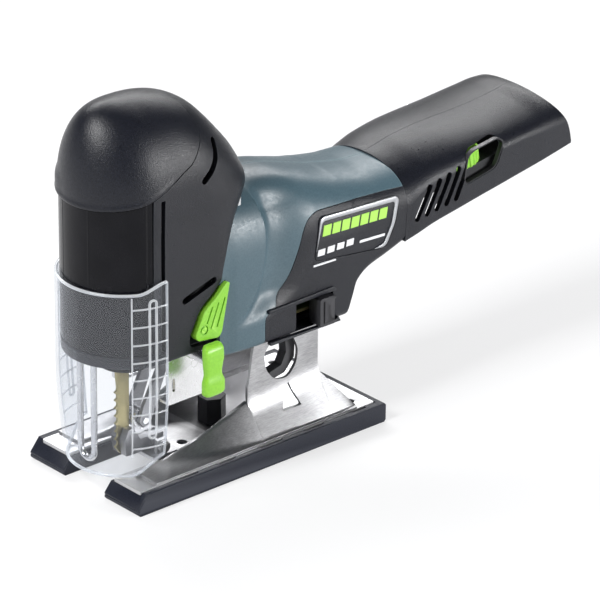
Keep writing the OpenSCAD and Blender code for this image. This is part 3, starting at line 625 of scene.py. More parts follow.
def head_grid(low, lift=0.0, split=0.08):
    """Left half of the outer surface of head and hood, from height low to the top of the dome."""
    wall_table = [
        # height, radius, rear end, squareness of the rear, straight share
        (67, 29.3, 56.8, 9, 0.55), (71, HEAD_R, 56.9, 9, 0.55), (81, HEAD_R, 59, 8, 0.55),
        (95, HEAD_R, 63.2, 7, 0.55), (107, HEAD_R, 67, 6, 0.55), (116, HEAD_R, 71, 4.5, 0.52),
        (126, HEAD_R, 77.5, 3.2, 0.45), (134, 29.6, 84, 2.7, 0.42), (141, 29.8, 87.6, 2.5, 0.38),
        (DOME_START, DOME_R, 84, 2.4, DOME_STRAIGHT),
    ]
    rear_table = [
        # turn above the start of the dome in degrees, rear end
        (0, 84), (11, 79), (24, 72), (36.5, 65.5), (49.6, 58.6), (61.8, 50.4), (74.6, 40), (90, 24),
    ]
    rows = []
    for z in np.linspace(low, DOME_START, 60, endpoint=False):
        radius, rear, squareness, straight = smooth(wall_table, z)[0]
        front = PLUNGER_X - radius
        ring = head_ring(front - lift, rear + lift, radius + lift, squareness, straight)
        rows.append(np.column_stack([ring, np.full(len(ring), z)]))
    height = HOOD_TOP - DOME_START
    for turn in np.linspace(0, 88.5, 70):
        c, s = math.cos(math.radians(turn)), math.sin(math.radians(turn))
        front = DOME_MIDDLE - 28.9 * c**0.6
        rear = float(smooth(rear_table, turn)[0])
        straight = DOME_STRAIGHT * c
        ring = head_ring(front - lift * c, rear + lift * c, (DOME_R + lift) * c, 2.1 + 0.3 * c, straight)
        middle = DOME_MIDDLE + (PLUNGER_X - DOME_MIDDLE) * c
        ring[:, 0] += (middle - PLUNGER_X) * np.clip(1 - np.abs(ring[:, 0] - PLUNGER_X) / 30, 0, 1)
        rows.append(np.column_stack([ring, np.full(len(ring), DOME_START + height * s)]))
    grid = np.array(rows)
    grid[:, :, 1] = np.minimum(grid[:, :, 1], -split)
    return grid


def seam_path():
    """Side view of the seam under the hood."""
    return smooth_path(SEAM_FRONT + SEAM_REAR, SEAM_STEPS)


def seam_prism(shift):
    """Everything above the seam under the hood, moved up or down by shift."""
    path = seam_path() + np.array([-shift * 0.6, shift])
    return prism([*path, (-40, 200), (-40, path[0][1])], -FAR, FAR)


def seam_height(x):
    """Height of the seam under the hood, in front of its rear end."""
    front_part = seam_path()[: SEAM_STEPS * (len(SEAM_FRONT) - 1) + 1]
    return smooth(front_part, np.ravel(x)).reshape(np.shape(x))


def hood_lip(grid):
    """Raises a soft rim round the hood's lower edge, with a finger tab at its right front."""
    x, y, z = grid[..., 0], grid[..., 1], grid[..., 2]
    above = z - seam_height(x)
    rim = 0.35 * np.exp(-((above - 1.2) / 1.3) ** 2) * (x < 30)
    turn = np.degrees(np.arctan2(-y, PLUNGER_X - x))
    tab = 0.9 * np.exp(-(np.abs(turn + 42) / 20) ** 4) * np.exp(-(np.abs(above - 5) / 5.2) ** 4)
    push = (rim + tab)[..., None]
    away = np.stack([x - PLUNGER_X, y, np.zeros_like(x)], axis=-1)
    away /= np.maximum(np.linalg.norm(away, axis=-1, keepdims=True), 1e-6)
    return grid + push * away


def make_hood(m):
    """Hood that closes the head above the seam."""
    half = head_grid(138, lift=0.15, split=0.0)
    whole = np.concatenate([half, side_grid(half, RIGHT)[:, -2:0:-1]], axis=1)
    hood = thick_shell("hood", hood_lip(whole), WALL, wrap=True, cap_last=True)
    boolean(hood, seam_prism(SEAM), "INTERSECT")
    return finish_piece(hood, "hood", m["grained"], ["release_hood"])


BUTTON_OUTLINE = [
    (62.2, 97.4), (60.5, 98), (54, 92), (47, 87), (41.5, 76), (43, 73), (55.5, 71.5), (57.4, 73.5),
]
BUTTON_RING = (46.8, 77.6)
BUTTON_GROOVES = [((48.6, 80.6), (51.6, 87.6)), ((51.0, 77.6), (55.4, 88.8)), ((54.6, 77.4), (59.2, 90.4))]
BUTTON_WINDOW = [
    (63.6, 99.4), (60.2, 99.5), (53, 93.4), (45.6, 87.6), (39.6, 75.6), (39.4, 71.6), (41, 70), (56.8, 68.6),
    (58.8, 73),
]


def window_tool(side):
    """Opening in the head shell for the power button."""
    return prism(rounded(BUTTON_WINDOW, 2.0), *across(side, 20))


def make_head_shell(m, side, label):
    """Head shell with its grained side, the deep slot behind the front cover and the button window."""
    grid = side_grid(head_grid(67), side)
    shell = thick_shell(f"head_side_{label}", grid, WALL)
    reach = across(side, 12)
    tools = [
        seam_prism(-SEAM),
        block((50, 92), across(side, -1, 24), (72.8, 126.5)),
        front_tool(),
        window_tool(side),
        prism(curved_slot([(48.6, 151.2), (53.5, 155), (57.2, 160), (58.6, 166.2)], 3.4), *reach),
        prism(slot_outline((37, 94.7), (54.2, 100), 3.4), *reach),
        block((22.9, 25.2), reach, (72.5, 148)),
    ]
    cut(shell, *tools)
    return finish_piece(shell, "housing", m["grained"], [f"head_shell_{label}"])


def front_tool():
    """Room for the front cover, a sector in front of the plunger."""
    angles = np.radians(np.linspace(-78.3, 78.3, 60))
    outer = [(PLUNGER_X - 40 * math.cos(a), -40 * math.sin(a)) for a in angles]
    inner = [(PLUNGER_X - 20 * math.cos(a), -20 * math.sin(a)) for a in angles[::-1]]
    return plan_prism(outer + inner, 72.3, 200)


def make_front_cover(m):
    """Gloss insert between the hood and the guard, with a fine raised line at each panel edge."""
    angles = np.arange(-77.9, 78.0, 0.5)
    lines = sum(0.16 * np.exp(-(((np.abs(angles) - a) / 0.55) ** 2)) for a in (18, 70.5))
    step = 0.35 * ease((np.abs(angles) - 71.5) / 1.2)
    radius = HEAD_R + lines - step
    turn = np.radians(angles)
    low = 72.5
    top = seam_height(PLUNGER_X - radius * np.cos(turn)) - SEAM
    rows = []
    for share in np.linspace(0, 1, 50) ** 1.4:
        z = low + (top - low) * share
        r = radius - 0.8 * ease((low + 1.5 - z) / 1.5)
        rows.append(np.column_stack([PLUNGER_X - r * np.cos(turn), -r * np.sin(turn), z]))
    cover = thick_shell("front_insert", np.array(rows), WALL - 0.2)
    return finish_piece(cover, "housing", m["gloss"], ["head_front_cover"])


# ---------- motor housing, lower housing and handle ----------

BODY_TABLE = [
    # x, half width, bottom, shoulder height, top height
    (58, 28.9, 58, 100, 139), (62, 29.2, 58, 100, 139), (68, 30.2, 58, 100, 138.6),
    (78, 31, 58, 100, 138), (84, 31.2, 58, 100, 137.5), (92, 30.8, 57.5, 100, 137.2),
    (104, 30.6, 57.5, 101, 135.8), (120, 30.7, 57.5, 103, 131.4),
    (136, 31, 57.5, 104, 126.6), (139, 31, 64, 104, 126.0), (142, 31, 72, 103, 125.3),
    (150, 31, 78, 103, 123.6), (161, 31, 81.5, 102, 121.9), (173.4, 31, 85.7, 101, 121.4),
]
LOWER_OUTLINE = [
    (84.2, 40), (84.2, 73), (91, 74), (93, 80), (101, 88), (106, 99), (109, 109), (112, 114), (117, 116.5),
    (140, 115.5), (190, 111.5), (190, 40),
]
HANDLE_JOINT = [(171.5, 80), (172.5, 95), (173, 110), (172.5, 125), (170, 140)]
GROOVE_LINE = [
    (56, 66), (74, 79), (79, 87), (82.5, 97), (84.5, 108), (85.5, 118), (84.5, 128), (82, 139), (76, 150),
]


def body_section(half_width, bottom, shoulder, top):
    """Half section across the housing: flat bottom, upright side and rounded top."""
    corner = 4.0
    flat = [(-y, bottom) for y in np.linspace(0, half_width - corner, 10)]
    turn = np.radians(np.linspace(10, 90, 8))
    bend = [
        (-(half_width - corner + corner * math.sin(a)), bottom + corner - corner * math.cos(a)) for a in turn
    ]
    side = [(-half_width, z) for z in np.linspace(bottom + corner, shoulder, 26)[1:]]
    a = np.linspace(0, math.pi / 2, 44)[1:]
    crown = np.stack(
        [-half_width * np.cos(a) ** (2 / 2.5), shoulder + (top - shoulder) * np.sin(a) ** (2 / 2.5)], axis=1
    )
    return np.array(flat + bend + side + [tuple(p) for p in crown])


def groove_depth(x, y, z):
    """Depth of the finger groove behind the head: steep on its front side, soft towards the rear."""
    line = smooth(smooth_path(GROOVE_LINE)[:, ::-1], np.ravel(z)).reshape(np.shape(z))
    s = x - line
    down = 1 - (1 - np.clip(s / 7.5, 0, 1)) ** 2
    fall = down * (1 - ease((s - 7.5) / 24))
    low, high = ease((z - 70) / 14), 1 - ease((z - 124) / 18)
    outward = ease((np.abs(y) - 12) / 14)
    return 5.0 * fall * low * high * outward


def body_grid():
    """Left half of the outer surface that the motor housing and the lower housing share."""
    xs = np.concatenate([np.linspace(58.3, 110, 130, endpoint=False), np.linspace(110, 173.4, 80)])
    rows = []
    for x in xs:
        section = body_section(*smooth(BODY_TABLE, x)[0])
        rows.append(station(x, section))
    grid = np.array(rows)
    depth = groove_depth(grid[..., 0], grid[..., 1], grid[..., 2])
    normal = grid_normals(grid)
    grid = grid - depth[..., None] * normal
    grid[:, :, 1] = np.minimum(grid[:, :, 1], -0.08)
    return grid


def lower_prism(gap):
    """Prism of the lower housing's side outline, grown by a gap."""
    return prism(grown(rounded(LOWER_OUTLINE, 5), gap), -FAR, FAR)


LABEL_OUTLINE = [(115, 92), (118, 113.6), (166.5, 111), (168, 109), (166, 98), (160, 86.5)]


def make_motor_housing(m, side, label):
    """Petrol shell above the lower housing."""
    shell = thick_shell(f"motor_cover_{label}", side_grid(body_grid(), side), WALL)
    cut(shell, lower_prism(SHELL_GAP))
    return finish_piece(shell, "housing", m["petrol"], [f"motor_housing_{label}"])


def make_lower_housing(m, side, label):
    """Black lower shell with the recess of the label and, on the left, the track of the release slider."""
    shell = thick_shell(f"lower_cover_{label}", side_grid(body_grid(), side), WALL)
    boolean(shell, lower_prism(-SHELL_GAP), "INTERSECT")
    tools = [prism(rounded(grown(LABEL_OUTLINE, 0.35), 3.2), *across(side, 30.1))]
    if side == LEFT:
        tools.append(block((104.2, 126.8), across(side, 20), (57.9, 73.6)))
        recess = [(86, 59), (86, 71.5), (104.4, 73.4), (104.4, 60)]
        tools.append(prism(rounded(recess, 1.5), *across(side, 30.2)))
    cut(shell, *tools)
    return finish_piece(shell, "housing", m["grained"], [f"lower_housing_{label}"])


def make_slider_rails(m):
    """Raised rails above and below the track of the base release slider."""
    y = across(LEFT, 29.5, 31.9)
    upper = [(86, 73.6), (86, 75.4), (126.5, 76.2), (128, 74.6), (128, 73.9)]
    lower = [(87, 57.2), (87, 58.8), (127, 57.9), (129.5, 60), (131, 57.2)]
    rails = prism(rounded(upper, 0.6), *y, "slider_track")
    boolean(rails, prism(rounded(lower, 0.5), *y), "UNION")
    round_edges(rails, 0.3)
    return finish_piece(rails, "housing", m["grained"])


HANDLE_TABLE = [
    # x, half width, lower edge, shoulder height, top height
    (170, 31.0, 85.0, 101, 121.6), (173, 31.1, 85.9, 102, 122.4), (180, 31.7, 88, 106, 123.6),
    (190, 32.2, 91, 110, 125.8), (209, 33, 95, 113.5, 127.8), (235, 33, 99.5, 116.5, 128.6),
    (258, 33, 103.5, 118, 130.8), (268, 32.7, 105.2, 118, 132.4), (281, 32, 107.3, 118, 131.4),
]
HANDLE_REAR = [
    (260, 150), (266.5, 139), (271, 131.5), (275.5, 124), (279.3, 115.5), (281.2, 107.6), (282.5, 100),
]
WHEEL_WINDOW = [(208.5, 104.5), (210.5, 119), (214, 121.5), (231, 124), (235, 121), (230, 108.5)]


def handle_grid():
    """Left half of the outer surface of the handle, open below."""
    rows = []
    for x in np.linspace(170, 281, 130):
        half_width, low, shoulder, top = smooth(HANDLE_TABLE, x)[0]
        side = [(-half_width, z) for z in np.linspace(low, shoulder, 16)]
        a = np.linspace(0, math.pi / 2, 44)[1:]
        crown_y = -half_width * np.cos(a) ** (2 / 2.1)
        crown_z = shoulder + (top - shoulder) * np.sin(a) ** (2 / 2.1)
        section = np.array(side + list(zip(crown_y, crown_z)))
        rows.append(station(x, section))
    grid = np.array(rows)
    grid[:, :, 1] = np.minimum(grid[:, :, 1], -0.06)
    return grid


def make_handle(m, side, label):
    """Open handle hood with its vents, rear edge and, on the left, the window of the speed wheel."""
    shell = thick_shell(f"handle_hood_{label}", side_grid(handle_grid(), side), WALL)
    reach = across(side, 22)
    rear = [*smooth_path(HANDLE_REAR, 5), (300, 100), (300, 150)]
    front = [*(smooth_path(HANDLE_JOINT, 4) + np.array([0.35, 0])), (150, 160), (150, 60)]
    tools = [prism(rear, -FAR, FAR), prism(front, -FAR, FAR)]
    for i in range(5):
        a = (179.5 + 6 * i, 95.5 + 1.1 * i)
        b = (187 + 6 * i, 110 + 1.5 * i)
        tools.append(prism(slot_outline(a, b, 3.1, 5), *reach))
    if side == LEFT:
        tools.append(prism(rounded(WHEEL_WINDOW, 4), *reach))
    cut(shell, *tools)
    return finish_piece(shell, "housing", m["grained"], [f"handle_shell_{label}"])


def make_window_lip(m):
    """Thin rounded rim inside the wheel window."""
    lip = prism(rounded(WHEEL_WINDOW, 4), *across(LEFT, 30.2, 32.6), "window_rim")
    cut(lip, prism(rounded(grown(WHEEL_WINDOW, -0.9), 3.4), -FAR, 0))
    return finish_piece(lip, "housing", m["soft_black"])


# ---------- label ----------


def label_bar(start, end, height, side):
    """Printed bar between two side-view points, leaning and standing a hair above the label."""
    (xa, za), (xb, zb) = start, end
    lean = height * 0.18
    outline = [(xa, za), (xb, zb), (xb + lean, zb + height), (xa + lean, za + height)]
    return prism(outline, *across(side, 30.7, 31.08))


def make_label(m, side, label):
    """Label field with a silver frame open at its lower corner, and plain bars in place of lettering."""
    field = prism(rounded(LABEL_OUTLINE, 3), *across(side, 29.9, 30.85), f"label_field_{label}")
    round_edges(field, 0.2)
    finish_piece(field, "housing", m["grained"], [f"label_panel_{label}"])
    rim_outline = rounded(grown(LABEL_OUTLINE, -0.3), 3)
    rim = prism(rim_outline, *across(side, 30.6, 31.25), f"label_frame_{label}")
    inner = [(112, 80), (119.4, 111.3), (164.3, 108.7), (165.2, 107.4), (163.3, 97.6), (158.6, 88.8)]
    cut(rim, prism(rounded(inner, 2.2), -FAR, FAR))
    round_edges(rim, 0.15)
    finish_piece(rim, "housing", m["label"])
    dashes = [
        label_bar((119.5 + 5.9 * i, 103.4 - 0.25 * i), (124.4 + 5.9 * i, 103.2 - 0.25 * i), 5.4, side)
        for i in range(7)
    ]
    finish_piece(join(f"label_dashes_{label}", dashes), "housing", m["green"])
    bars = [label_bar((116.5 + 6 * i, 94.0), (120.9 + 6 * i, 93.9), 3.2, side) for i in range(4)]
    bars.append(label_bar((143, 93.4), (159, 92.6), 1.3, side))
    bars.append(label_bar((114, 89.3), (128, 88.9), 0.9, side))
    return finish_piece(join(f"label_bars_{label}", bars), "housing", m["pale_print"])


# ---------- controls ----------


def make_button(m, side, label):
    """Power button with three grooves and a ring mark."""
    button = prism(rounded(BUTTON_OUTLINE, 2.2), *across(side, 27.5, 31.4), f"power_key_{label}")
    face = across(side, 30.7)
    ring = prism(circle(BUTTON_RING, 2.3), *face)
    cut(ring, prism(circle(BUTTON_RING, 1.55), -FAR, FAR))
    cut(button, *[prism(slot_outline(a, b, 0.75), *face) for a, b in BUTTON_GROOVES], ring)
    round_edges(button, 0.35, 3)
    boolean(button, prism(circle((52, 83), 3.0), *across(side, 24.5, 27.6)), "UNION")
    return finish_piece(button, f"button_{label}", m["green"], [f"power_button_{label}"])


def make_orbit_lever(m):
    """Orbit lever: a waisted paddle with a rounded front, narrowing at its top."""
    table = [
        # height, half width, outer face
        (45.6, 3.6, -36.6), (46.3, 5.2, -37.3), (48, 6.0, -37.9), (52, 6.0, -38.0), (57, 4.7, -37.2),
        (61, 5.2, -37.4), (64, 5.5, -37.9), (68.5, 5.6, -37.6), (70.6, 5.2, -36.6), (71.5, 4.4, -35.6),
    ]
    rows = []
    for z in np.linspace(45.6, 71.5, 60):
        half, face = smooth(table, z)[0]
        middle, depth = (face - 33.4) / 2, (-33.4 - face) / 2
        a = np.linspace(0, 2 * math.pi, 48, endpoint=False)
        x = 48.5 + half * np.sign(np.cos(a)) * np.abs(np.cos(a)) ** (2 / 5)
        y = middle + depth * np.sign(np.sin(a)) * np.abs(np.sin(a)) ** (2 / 4)
        rows.append(np.column_stack([x, y, np.full(48, z)]))
    lever = solid_grid("orbit_paddle", np.array(rows))
    return finish_piece(lever, "lever", m["green"], ["orbit_lever"])


def make_slider(m):
    """Base release slider with a thumb groove and a curved finger dish."""
    low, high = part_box("base_release_slider")
    x = (low.x / MM - FRONT, high.x / MM - FRONT)
    z = (low.z / MM, high.z / MM)
    outline = rounded([(x[0], z[0]), (x[1], z[0]), (x[1], z[1]), (x[0], z[1])], 1.6)
    slider = prism(outline, *across(LEFT, 26, 34), "release_slide")
    dish = prism(circle((x[1] + 2.0, (z[0] + z[1]) / 2), 6.0), *across(LEFT, 32.9))
    groove = slot_outline((x[0] + 2.6, z[0] + 2), (x[0] + 2.6, z[1] - 2), 0.8)
    cut(slider, dish, prism(groove, *across(LEFT, 33.4)))
    round_edges(slider, 0.5, 3)
    return finish_piece(slider, "base_slider", m["soft_black"], ["base_release_slider"])


def make_speed_wheel(m):
    """Knurled thumb wheel on its tilted axis, with broad teeth."""
    joint = next(j for j in frame["joints"] if j["name"] == "speed_wheel_turn")
    centre, axis = Vector(joint["pos_m"]), Vector(joint["axis"]).normalized()
    count, teeth = 288, 24
    a = np.linspace(0, 2 * math.pi, count, endpoint=False)
    wave = np.clip(np.cos(a * teeth) * 2.2, -1, 1)
    layers = [(-3.8, 10.1), (-3.5, 10.6), (-3.0, 10.9), (3.0, 10.9), (3.5, 10.6), (3.8, 10.1)]
    rings = []
    for height, radius in layers:
        r = radius - 0.28 + 0.28 * wave
        rings.append(np.column_stack([r * np.cos(a), r * np.sin(a), np.full(count, height)]))
    hub = [np.column_stack([2.5 * np.cos(a), 2.5 * np.sin(a), np.full(count, h)]) for h in (3.8, -3.8)]
    grid = np.array(rings + hub)
    wheel = new_object("thumb_wheel", grid.reshape(-1, 3), loop_faces(len(grid), count))
    wheel.data.transform(Matrix.Translation((-FRONT * MM, 0, 0)))
    turn = Vector((0, 0, 1)).rotation_difference(axis).to_matrix().to_4x4()
    wheel.data.transform(Matrix.Translation(centre) @ turn)
    return finish_piece(wheel, "wheel", m["green"], ["speed_wheel"], sharp=25)


# ---------- base ----------

SHEET = 1.6
SLOPE_SHEET = 1.5
PLATE_Z = (8.5, 10.2)
WALL_TOP = 57.2
ADAPTER_X = (66, 141)
ADAPTER_Y = 28
ADAPTER_R = 2.2
BASE_WINDOW = [
    (96.5, 55.5), (107, 55.5), (111.5, 46), (110.5, 38.5), (105, 32.5), (96.5, 34), (91, 41), (90, 50),
]
BASE_NOTCH = [(97, 19.5), (108.5, 19.5), (105, 30.5)]


def adapter_holes(side):
    """Tools for the two holes of one side that take an adapter base."""
    return [plan_prism(circle((x, side * ADAPTER_Y), ADAPTER_R), -1, 20) for x in ADAPTER_X]


def make_sole(m):
    """Running sole: a U-shaped plastic tray with bevelled prong tips and clip pockets along its rim."""
    half = SOLE_WIDTH / 2
    side = [
        (1, 0), (0, 1), (0, 3.6), (5.2, SOLE_TOP), (SOLE_END - 1, SOLE_TOP), (SOLE_END, SOLE_TOP - 1),
        (SOLE_END, 1), (SOLE_END - 1, 0),
    ]
    sole = prism(side, -half, half, "sole_tray")
    tools = [
        plan_prism(rounded([(-5, -15), (38, -15), (44, -11), (44, 11), (38, 15), (-5, 15)], 3), -1, 20),
        block((3.6, 150), (-36.3, 36.3), (8.4, 20)),
        block((-1, 0.5), (-FAR, FAR), (2.35, 2.75)),
    ]
    for hand in (LEFT, RIGHT):
        for pocket in ((27, 38), (50, 61), (76, 90), (104, 116), (134, 143)):
            tools.append(block(pocket, across(hand, 36, 37.6), (7.4, 20)))
        tools += adapter_holes(hand)
    cut(sole, *tools)
    round_edges(sole, 0.45)
    return finish_piece(sole, "housing", m["sole"], ["running_sole"])


def base_flank(side):
    """Wall, slope and foot strip of one side of the base, as one bent sheet."""
    rows = []
    for x in np.linspace(80, 124, 60):
        bend_z = float(smooth([(80, 25.5), (100, 27), (124, 30)], x)[0])
        wall_top = WALL_TOP - 22 * ease((86 - x) / 6) ** 2
        path = [(22, wall_top), (22, bend_z), (34.2, 10.2), (36.1, 9.9)]
        section = resampled(open_rounded(path, (7, 3)), 46)
        rows.append(station(x, section * (side, 1)))
    return thick_shell("flank", np.array(rows), SHEET)


def base_skirt(side):
    """Sweeping front part of the slope, from the wall down to the tip of the prong."""
    rows = []
    for t in np.linspace(0, 1, 70):
        x = 14 + 66.5 * t
        crest_y = float(smooth([(0, 21), (0.35, 20.2), (0.7, 21), (1, 22)], t)[0])
        crest_z = float(smooth([(0, 9.9), (0.2, 10.6), (0.5, 14.5), (0.8, 21.5), (1, 26.5)], t)[0])
        foot_y = float(smooth([(0, 24.5), (0.3, 27), (0.6, 30.5), (1, 34.2)], t)[0])
        path = [(crest_y - 0.3, crest_z - 1.6), (crest_y, crest_z), (foot_y, 10.2), (36.1, 9.9)]
        section = resampled(open_rounded(path, (1.2, 4)), 40)
        rows.append(station(x, section * (side, 1)))
    return thick_shell("skirt", np.array(rows), SLOPE_SHEET)


def base_tail(side):
    """Rear end of the slope, cut back along a slant."""
    rows = []
    for t in np.linspace(0, 1, 26):
        x = 123.6 + 14.5 * t
        crest_y = 22 + 11.5 * t
        crest_z = 30.5 - 20 * t
        path = [(crest_y, crest_z), (34.2, 10.2), (36.1, 9.9)]
        section = resampled(open_rounded(path, (3,)), 24)
        rows.append(station(x, section * (side, 1)))
    return thick_shell("tail", np.array(rows), SLOPE_SHEET)


def make_base_plate(m):
    """Bent and pressed base: floor plate, two walls with a window each, slopes and the jaw lugs."""
    y_in, y_out = 16.5, 36.1
    outline = [(45, -y_out), (149.5, -y_out), (149.5, y_out), (45, y_out)]
    floor = plan_prism(rounded(outline, 1.5), *PLATE_Z, "base_metal")
    for side in (LEFT, RIGHT):
        prong = [(4.2, side * y_in), (4.2, side * y_out), (60, side * y_out), (60, side * y_in)]
        boolean(floor, plan_prism(rounded(prong, 1.2), *PLATE_Z), "UNION")
        boolean(floor, block((35, 41), across(side, 9.4, 11.2), (10.0, 17)), "UNION")
    tongue = [(31, -13.5), (47, -13.5), (47, 13.5), (31, 13.5)]
    boolean(floor, plan_prism(rounded(tongue, 2), *PLATE_Z), "UNION")
    holes = [plan_prism(circle((52, -9), 2.6), 5, 12), prism(circle((38, 13.6), 2.05), -14, 14)]
    cut(floor, *holes, *adapter_holes(LEFT), *adapter_holes(RIGHT))
    round_edges(floor, 0.25, 1)
    sheets = [floor]
    for side in (LEFT, RIGHT):
        flank = base_flank(side)
        cut(flank, prism(rounded(BASE_WINDOW, 3.5), *across(side, 15, 30)))
        cut(flank, prism(rounded(BASE_NOTCH, 0.8), *across(side, 21, 45)))
        sheets += [flank, base_skirt(side), base_tail(side)]
    plate = join("base_metal", sheets)
    return finish_piece(plate, "housing", m["base"], ["base_plate"], sharp=28)


# ---------- guard and blade ----------

RUNG_PITCH = 8.9
# Angles from the front of the guard: start of the wings, and the long hollow rib with half its width.
WING_TURN = 57.0
RIB_TURN = 75.0
RIB_HALF = 3.0
GUARD_OUTER = [(11, 27.9), (20, 29.1), (30, 30.3), (42, 31.3), (54, 31.9), (120, 31.9)]
GUARD_WALL = 1.5


def guard_point(turn, z, lift=0.0):
    """Point on the outside of the guard at an angle from its front and a height."""
    radius = smooth(GUARD_OUTER, np.ravel(z)).reshape(np.shape(z)) + lift
    a = np.radians(turn)
    return np.stack([PLUNGER_X - radius * np.cos(a), -radius * np.sin(a), z * np.ones_like(a)], axis=-1)


def guard_top(turn):
    """Height of the guard's upper edge."""
    return 105 + 4.0 * ease((np.abs(turn) - 62) / 26)


def guard_bottom(turn):
    """Height of the guard's lower edge."""
    return 11 + 9 * ease((np.abs(turn) - 55) / 35)


def make_guard(m):
    """Clear chip guard: half a tapered tube; its rungs and rims are built as separate rods."""
    turns = np.arange(-90, 90.01, 1.5)
    share = np.linspace(0, 1, 90)[:, None]
    top, bottom = guard_top(turns), guard_bottom(turns)
    z = bottom + (top - bottom) * share
    turn = np.broadcast_to(turns, z.shape)
    guard = shell_between("clear_guard", guard_point(turn, z), guard_point(turn, z, -GUARD_WALL))
    finish_piece(guard, "guard", m["clear"], ["chip_guard"], sharp=40)


def make_guard_ribs(m):
    """Rungs and long hollow rib on both wings, and the thick rims, as rods half sunk in the guard, in a
    whiter copy of the clear plastic whose brightness is a painted highlight.
    """
    rods = []
    for side in (LEFT, RIGHT):
        for i in range(9):
            turn = side * np.linspace(WING_TURN, 89, 12)
            rods.append(rod(guard_point(turn, np.full(12, 26.5 + RUNG_PITCH * i), 0.05), 0.42))
        z = np.linspace(22, 103.5, 30)
        rods.append(rod(guard_point(np.full(30, side * WING_TURN), z), 0.38))
        low, high = 33.0, 100.0
        swing = np.linspace(0, math.pi, 9)
        rise = np.linspace(low, high, 24)
        bend, arch = RIB_HALF * np.cos(swing), 1.6 * np.sin(swing)
        first, last = np.full(24, RIB_TURN - RIB_HALF), np.full(24, RIB_TURN + RIB_HALF)
        turns = [first, RIB_TURN - bend, last, RIB_TURN + bend]
        heights = [rise, high + arch, rise[::-1], low - arch]
        path = guard_point(side * np.concatenate(turns), np.concatenate(heights), 0.15)
        rods.append(rod(path, 0.6, closed=True))
        z = np.linspace(20.5, 108.3, 40)
        rods.append(rod(guard_point(np.full(40, side * 89.4), z, -0.7), 0.6))
    turns = np.linspace(-89, 89, 120)
    rods.append(rod(guard_point(turns, guard_top(turns) - 0.3, -0.7), 0.75))
    rods.append(rod(guard_point(turns, guard_bottom(turns) + 0.5, -0.8), 0.8))
    # The rods take the whiter copy of the clear plastic, a painted highlight along the rungs and rims.
    return finish_piece(join("guard_ribs", rods), "guard", m["milky"], sharp=60)


def rod(path, radius, closed=False):
    """Rod with eight sides along a path round the plunger, closed into a ring or with flat ends."""
    if closed:
        keep = np.linalg.norm(path - np.roll(path, 1, axis=0), axis=1) > 1e-6
        path = path[keep]
        along = np.roll(path, -1, axis=0) - np.roll(path, 1, axis=0)
    else:
        along = np.gradient(path, axis=0)
    along /= np.linalg.norm(along, axis=1, keepdims=True)
    outward = path - np.array([PLUNGER_X, 0, 0])
    outward[:, 2] = 0
    first = np.cross(along, outward)
    first /= np.maximum(np.linalg.norm(first, axis=1, keepdims=True), 1e-9)
    second = np.cross(first, along)
    a = np.linspace(0, 2 * math.pi, 8, endpoint=False)[None, :, None]
    rings = path[:, None] + radius * (np.cos(a) * first[:, None] + np.sin(a) * second[:, None])
    if not closed:
        return solid_grid("rod", rings)
    return new_object("rod", rings.reshape(-1, 3), loop_faces(len(rings), 8))


# ---------- CAD nodes that keep their shape ----------

CAD_FINISH = {
    "grained": ["head_floor_plate"],
    "gloss": ["plunger_collar"],
    "steel": [
        "pendulum_bracket", "finger_guard_wire", "hood_hinge_pin", "gear_axle", "crank_pin", "motor_shaft",
        "plunger", "fork_pivot_pin", "roller_pin", "guide_roller", "gear_bearing", "front_bearing",
        "rear_bearing", "jaw_screw", "housing_screws", "orbit_shaft",
    ],
    "gear": [
        "drive_gear", "motor_pinion", "counterweight", "plunger_yoke", "roller_fork", "guide_jaw_left",
        "guide_jaw_right", "blade_clamp", "motor_rotor",
    ],
    "blade": ["saw_blade"],
    "cast": ["gearbox_housing", "motor_stator"],
    "bronze": ["upper_bush", "lower_bush"],
    "copper": ["stator_windings"],
    "inner": ["battery_dock", "motor_end_cap", "motor_fan", "button_switches", "base_clamp_hook"],
    "soft_black": ["base_stop_block"],
    "board": ["electronics_board"],
}


def finish_cad_nodes(m):
    """Gives the CAD nodes that stay visible their materials."""
    for finish, names in CAD_FINISH.items():
        for name in names:
            obj = frame["nodes"][name]
            for slot in obj.material_slots:
                slot.material = m[finish]
            if not obj.material_slots:
                obj.data.materials.append(m[finish])


# ---------- camera, floor and light ----------


def make_camera():
    """Long lens that looks at the front left corner of the tool from above."""
    turn, tilt, roll = math.radians(-41.732), math.radians(24.841), math.radians(0.4953)
    distance, aim_right, aim_up = 2090.47, 100.3234, 87.1479
    back = Vector((math.sin(turn) * math.cos(tilt), -math.cos(turn) * math.cos(tilt), math.sin(tilt)))
    level = Vector((0, 0, 1)).cross(back).normalized()
    upright = back.cross(level)
    right = math.cos(roll) * level + math.sin(roll) * upright
    up = math.cos(roll) * upright - math.sin(roll) * level
    data = bpy.data.cameras.new("camera")
    data.lens = 270
    data.sensor_width = 36
    data.clip_end = 50
    camera = add_object("camera", data)
    rotation = Matrix((right, up, back)).transposed().to_4x4()
    camera.matrix_world = Matrix.Translation(at(distance * back + aim_right * right + aim_up * up)) @ rotation
    bpy.context.scene.camera = camera


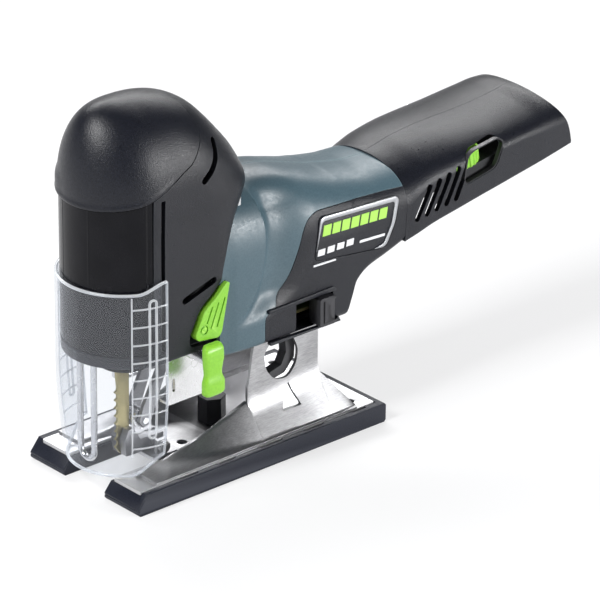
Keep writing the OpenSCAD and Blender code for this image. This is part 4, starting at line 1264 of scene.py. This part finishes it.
def make_floor():
    """Pale studio floor."""
    n = Nodes("floor")
    tone = n.ramp(n.noise(3, 2), (0.3, (0.38, 0.38, 0.385)), (0.7, (0.41, 0.41, 0.415)))
    n.link(tone, n.shader.inputs["Base Color"])
    n.set(Roughness=0.9, Specular_IOR_Level=0.1, Emission_Color=(1, 1, 1, 1), Emission_Strength=0.52)
    size = 8.0
    corners = [(-size, -size, 0), (size, -size, 0), (size, size, 0), (-size, size, 0)]
    mesh = bpy.data.meshes.new("floor")
    mesh.from_pydata(corners, [], [(0, 1, 2, 3)])
    mesh.materials.append(n.material)
    add_object("floor", mesh)


def softbox(name, direction, distance, size, power):
    """Area light that faces the middle of the tool."""
    data = bpy.data.lights.new(name, "AREA")
    data.shape = "RECTANGLE"
    data.size, data.size_y = size
    data.energy = power
    light = add_object(name, data)
    middle = Vector((0, 0, 0.1))
    light.location = middle + Vector(direction).normalized() * distance
    light.rotation_euler = (light.location - middle).to_track_quat("Z", "Y").to_euler()


def make_light():
    """Three softboxes and a weak sky."""
    world = bpy.data.worlds.new("world")
    world.use_nodes = True
    background = world.node_tree.nodes["Background"]
    background.inputs["Color"].default_value = (0.92, 0.95, 1.0, 1)
    background.inputs["Strength"].default_value = 0.10
    bpy.context.scene.world = world
    softbox("left_box", (-0.74, 0.02, 0.62), 1.3, (0.42, 0.42), 19)
    softbox("right_box", (0.42, -0.88, 0.16), 1.3, (0.60, 0.26), 16)
    softbox("back_box", (0.50, 0.70, 0.62), 1.6, (1.8, 0.35), 24)
    bpy.context.scene.view_settings.view_transform = "Standard"
    bpy.context.scene.view_settings.look = "None"


# ---------- assembly ----------


def build():
    """Every piece of the tool."""
    m = make_materials()
    finish_cad_nodes(m)
    make_hood(m)
    make_front_cover(m)
    for side, label in ((LEFT, "left"), (RIGHT, "right")):
        make_head_shell(m, side, label)
        make_motor_housing(m, side, label)
        make_lower_housing(m, side, label)
        make_handle(m, side, label)
        make_label(m, side, label)
        make_button(m, side, label)
    make_slider_rails(m)
    make_window_lip(m)
    make_orbit_lever(m)
    make_slider(m)
    make_speed_wheel(m)
    make_sole(m)
    make_base_plate(m)
    make_guard(m)
    make_guard_ribs(m)


make_camera()
make_floor()
make_light()
build()
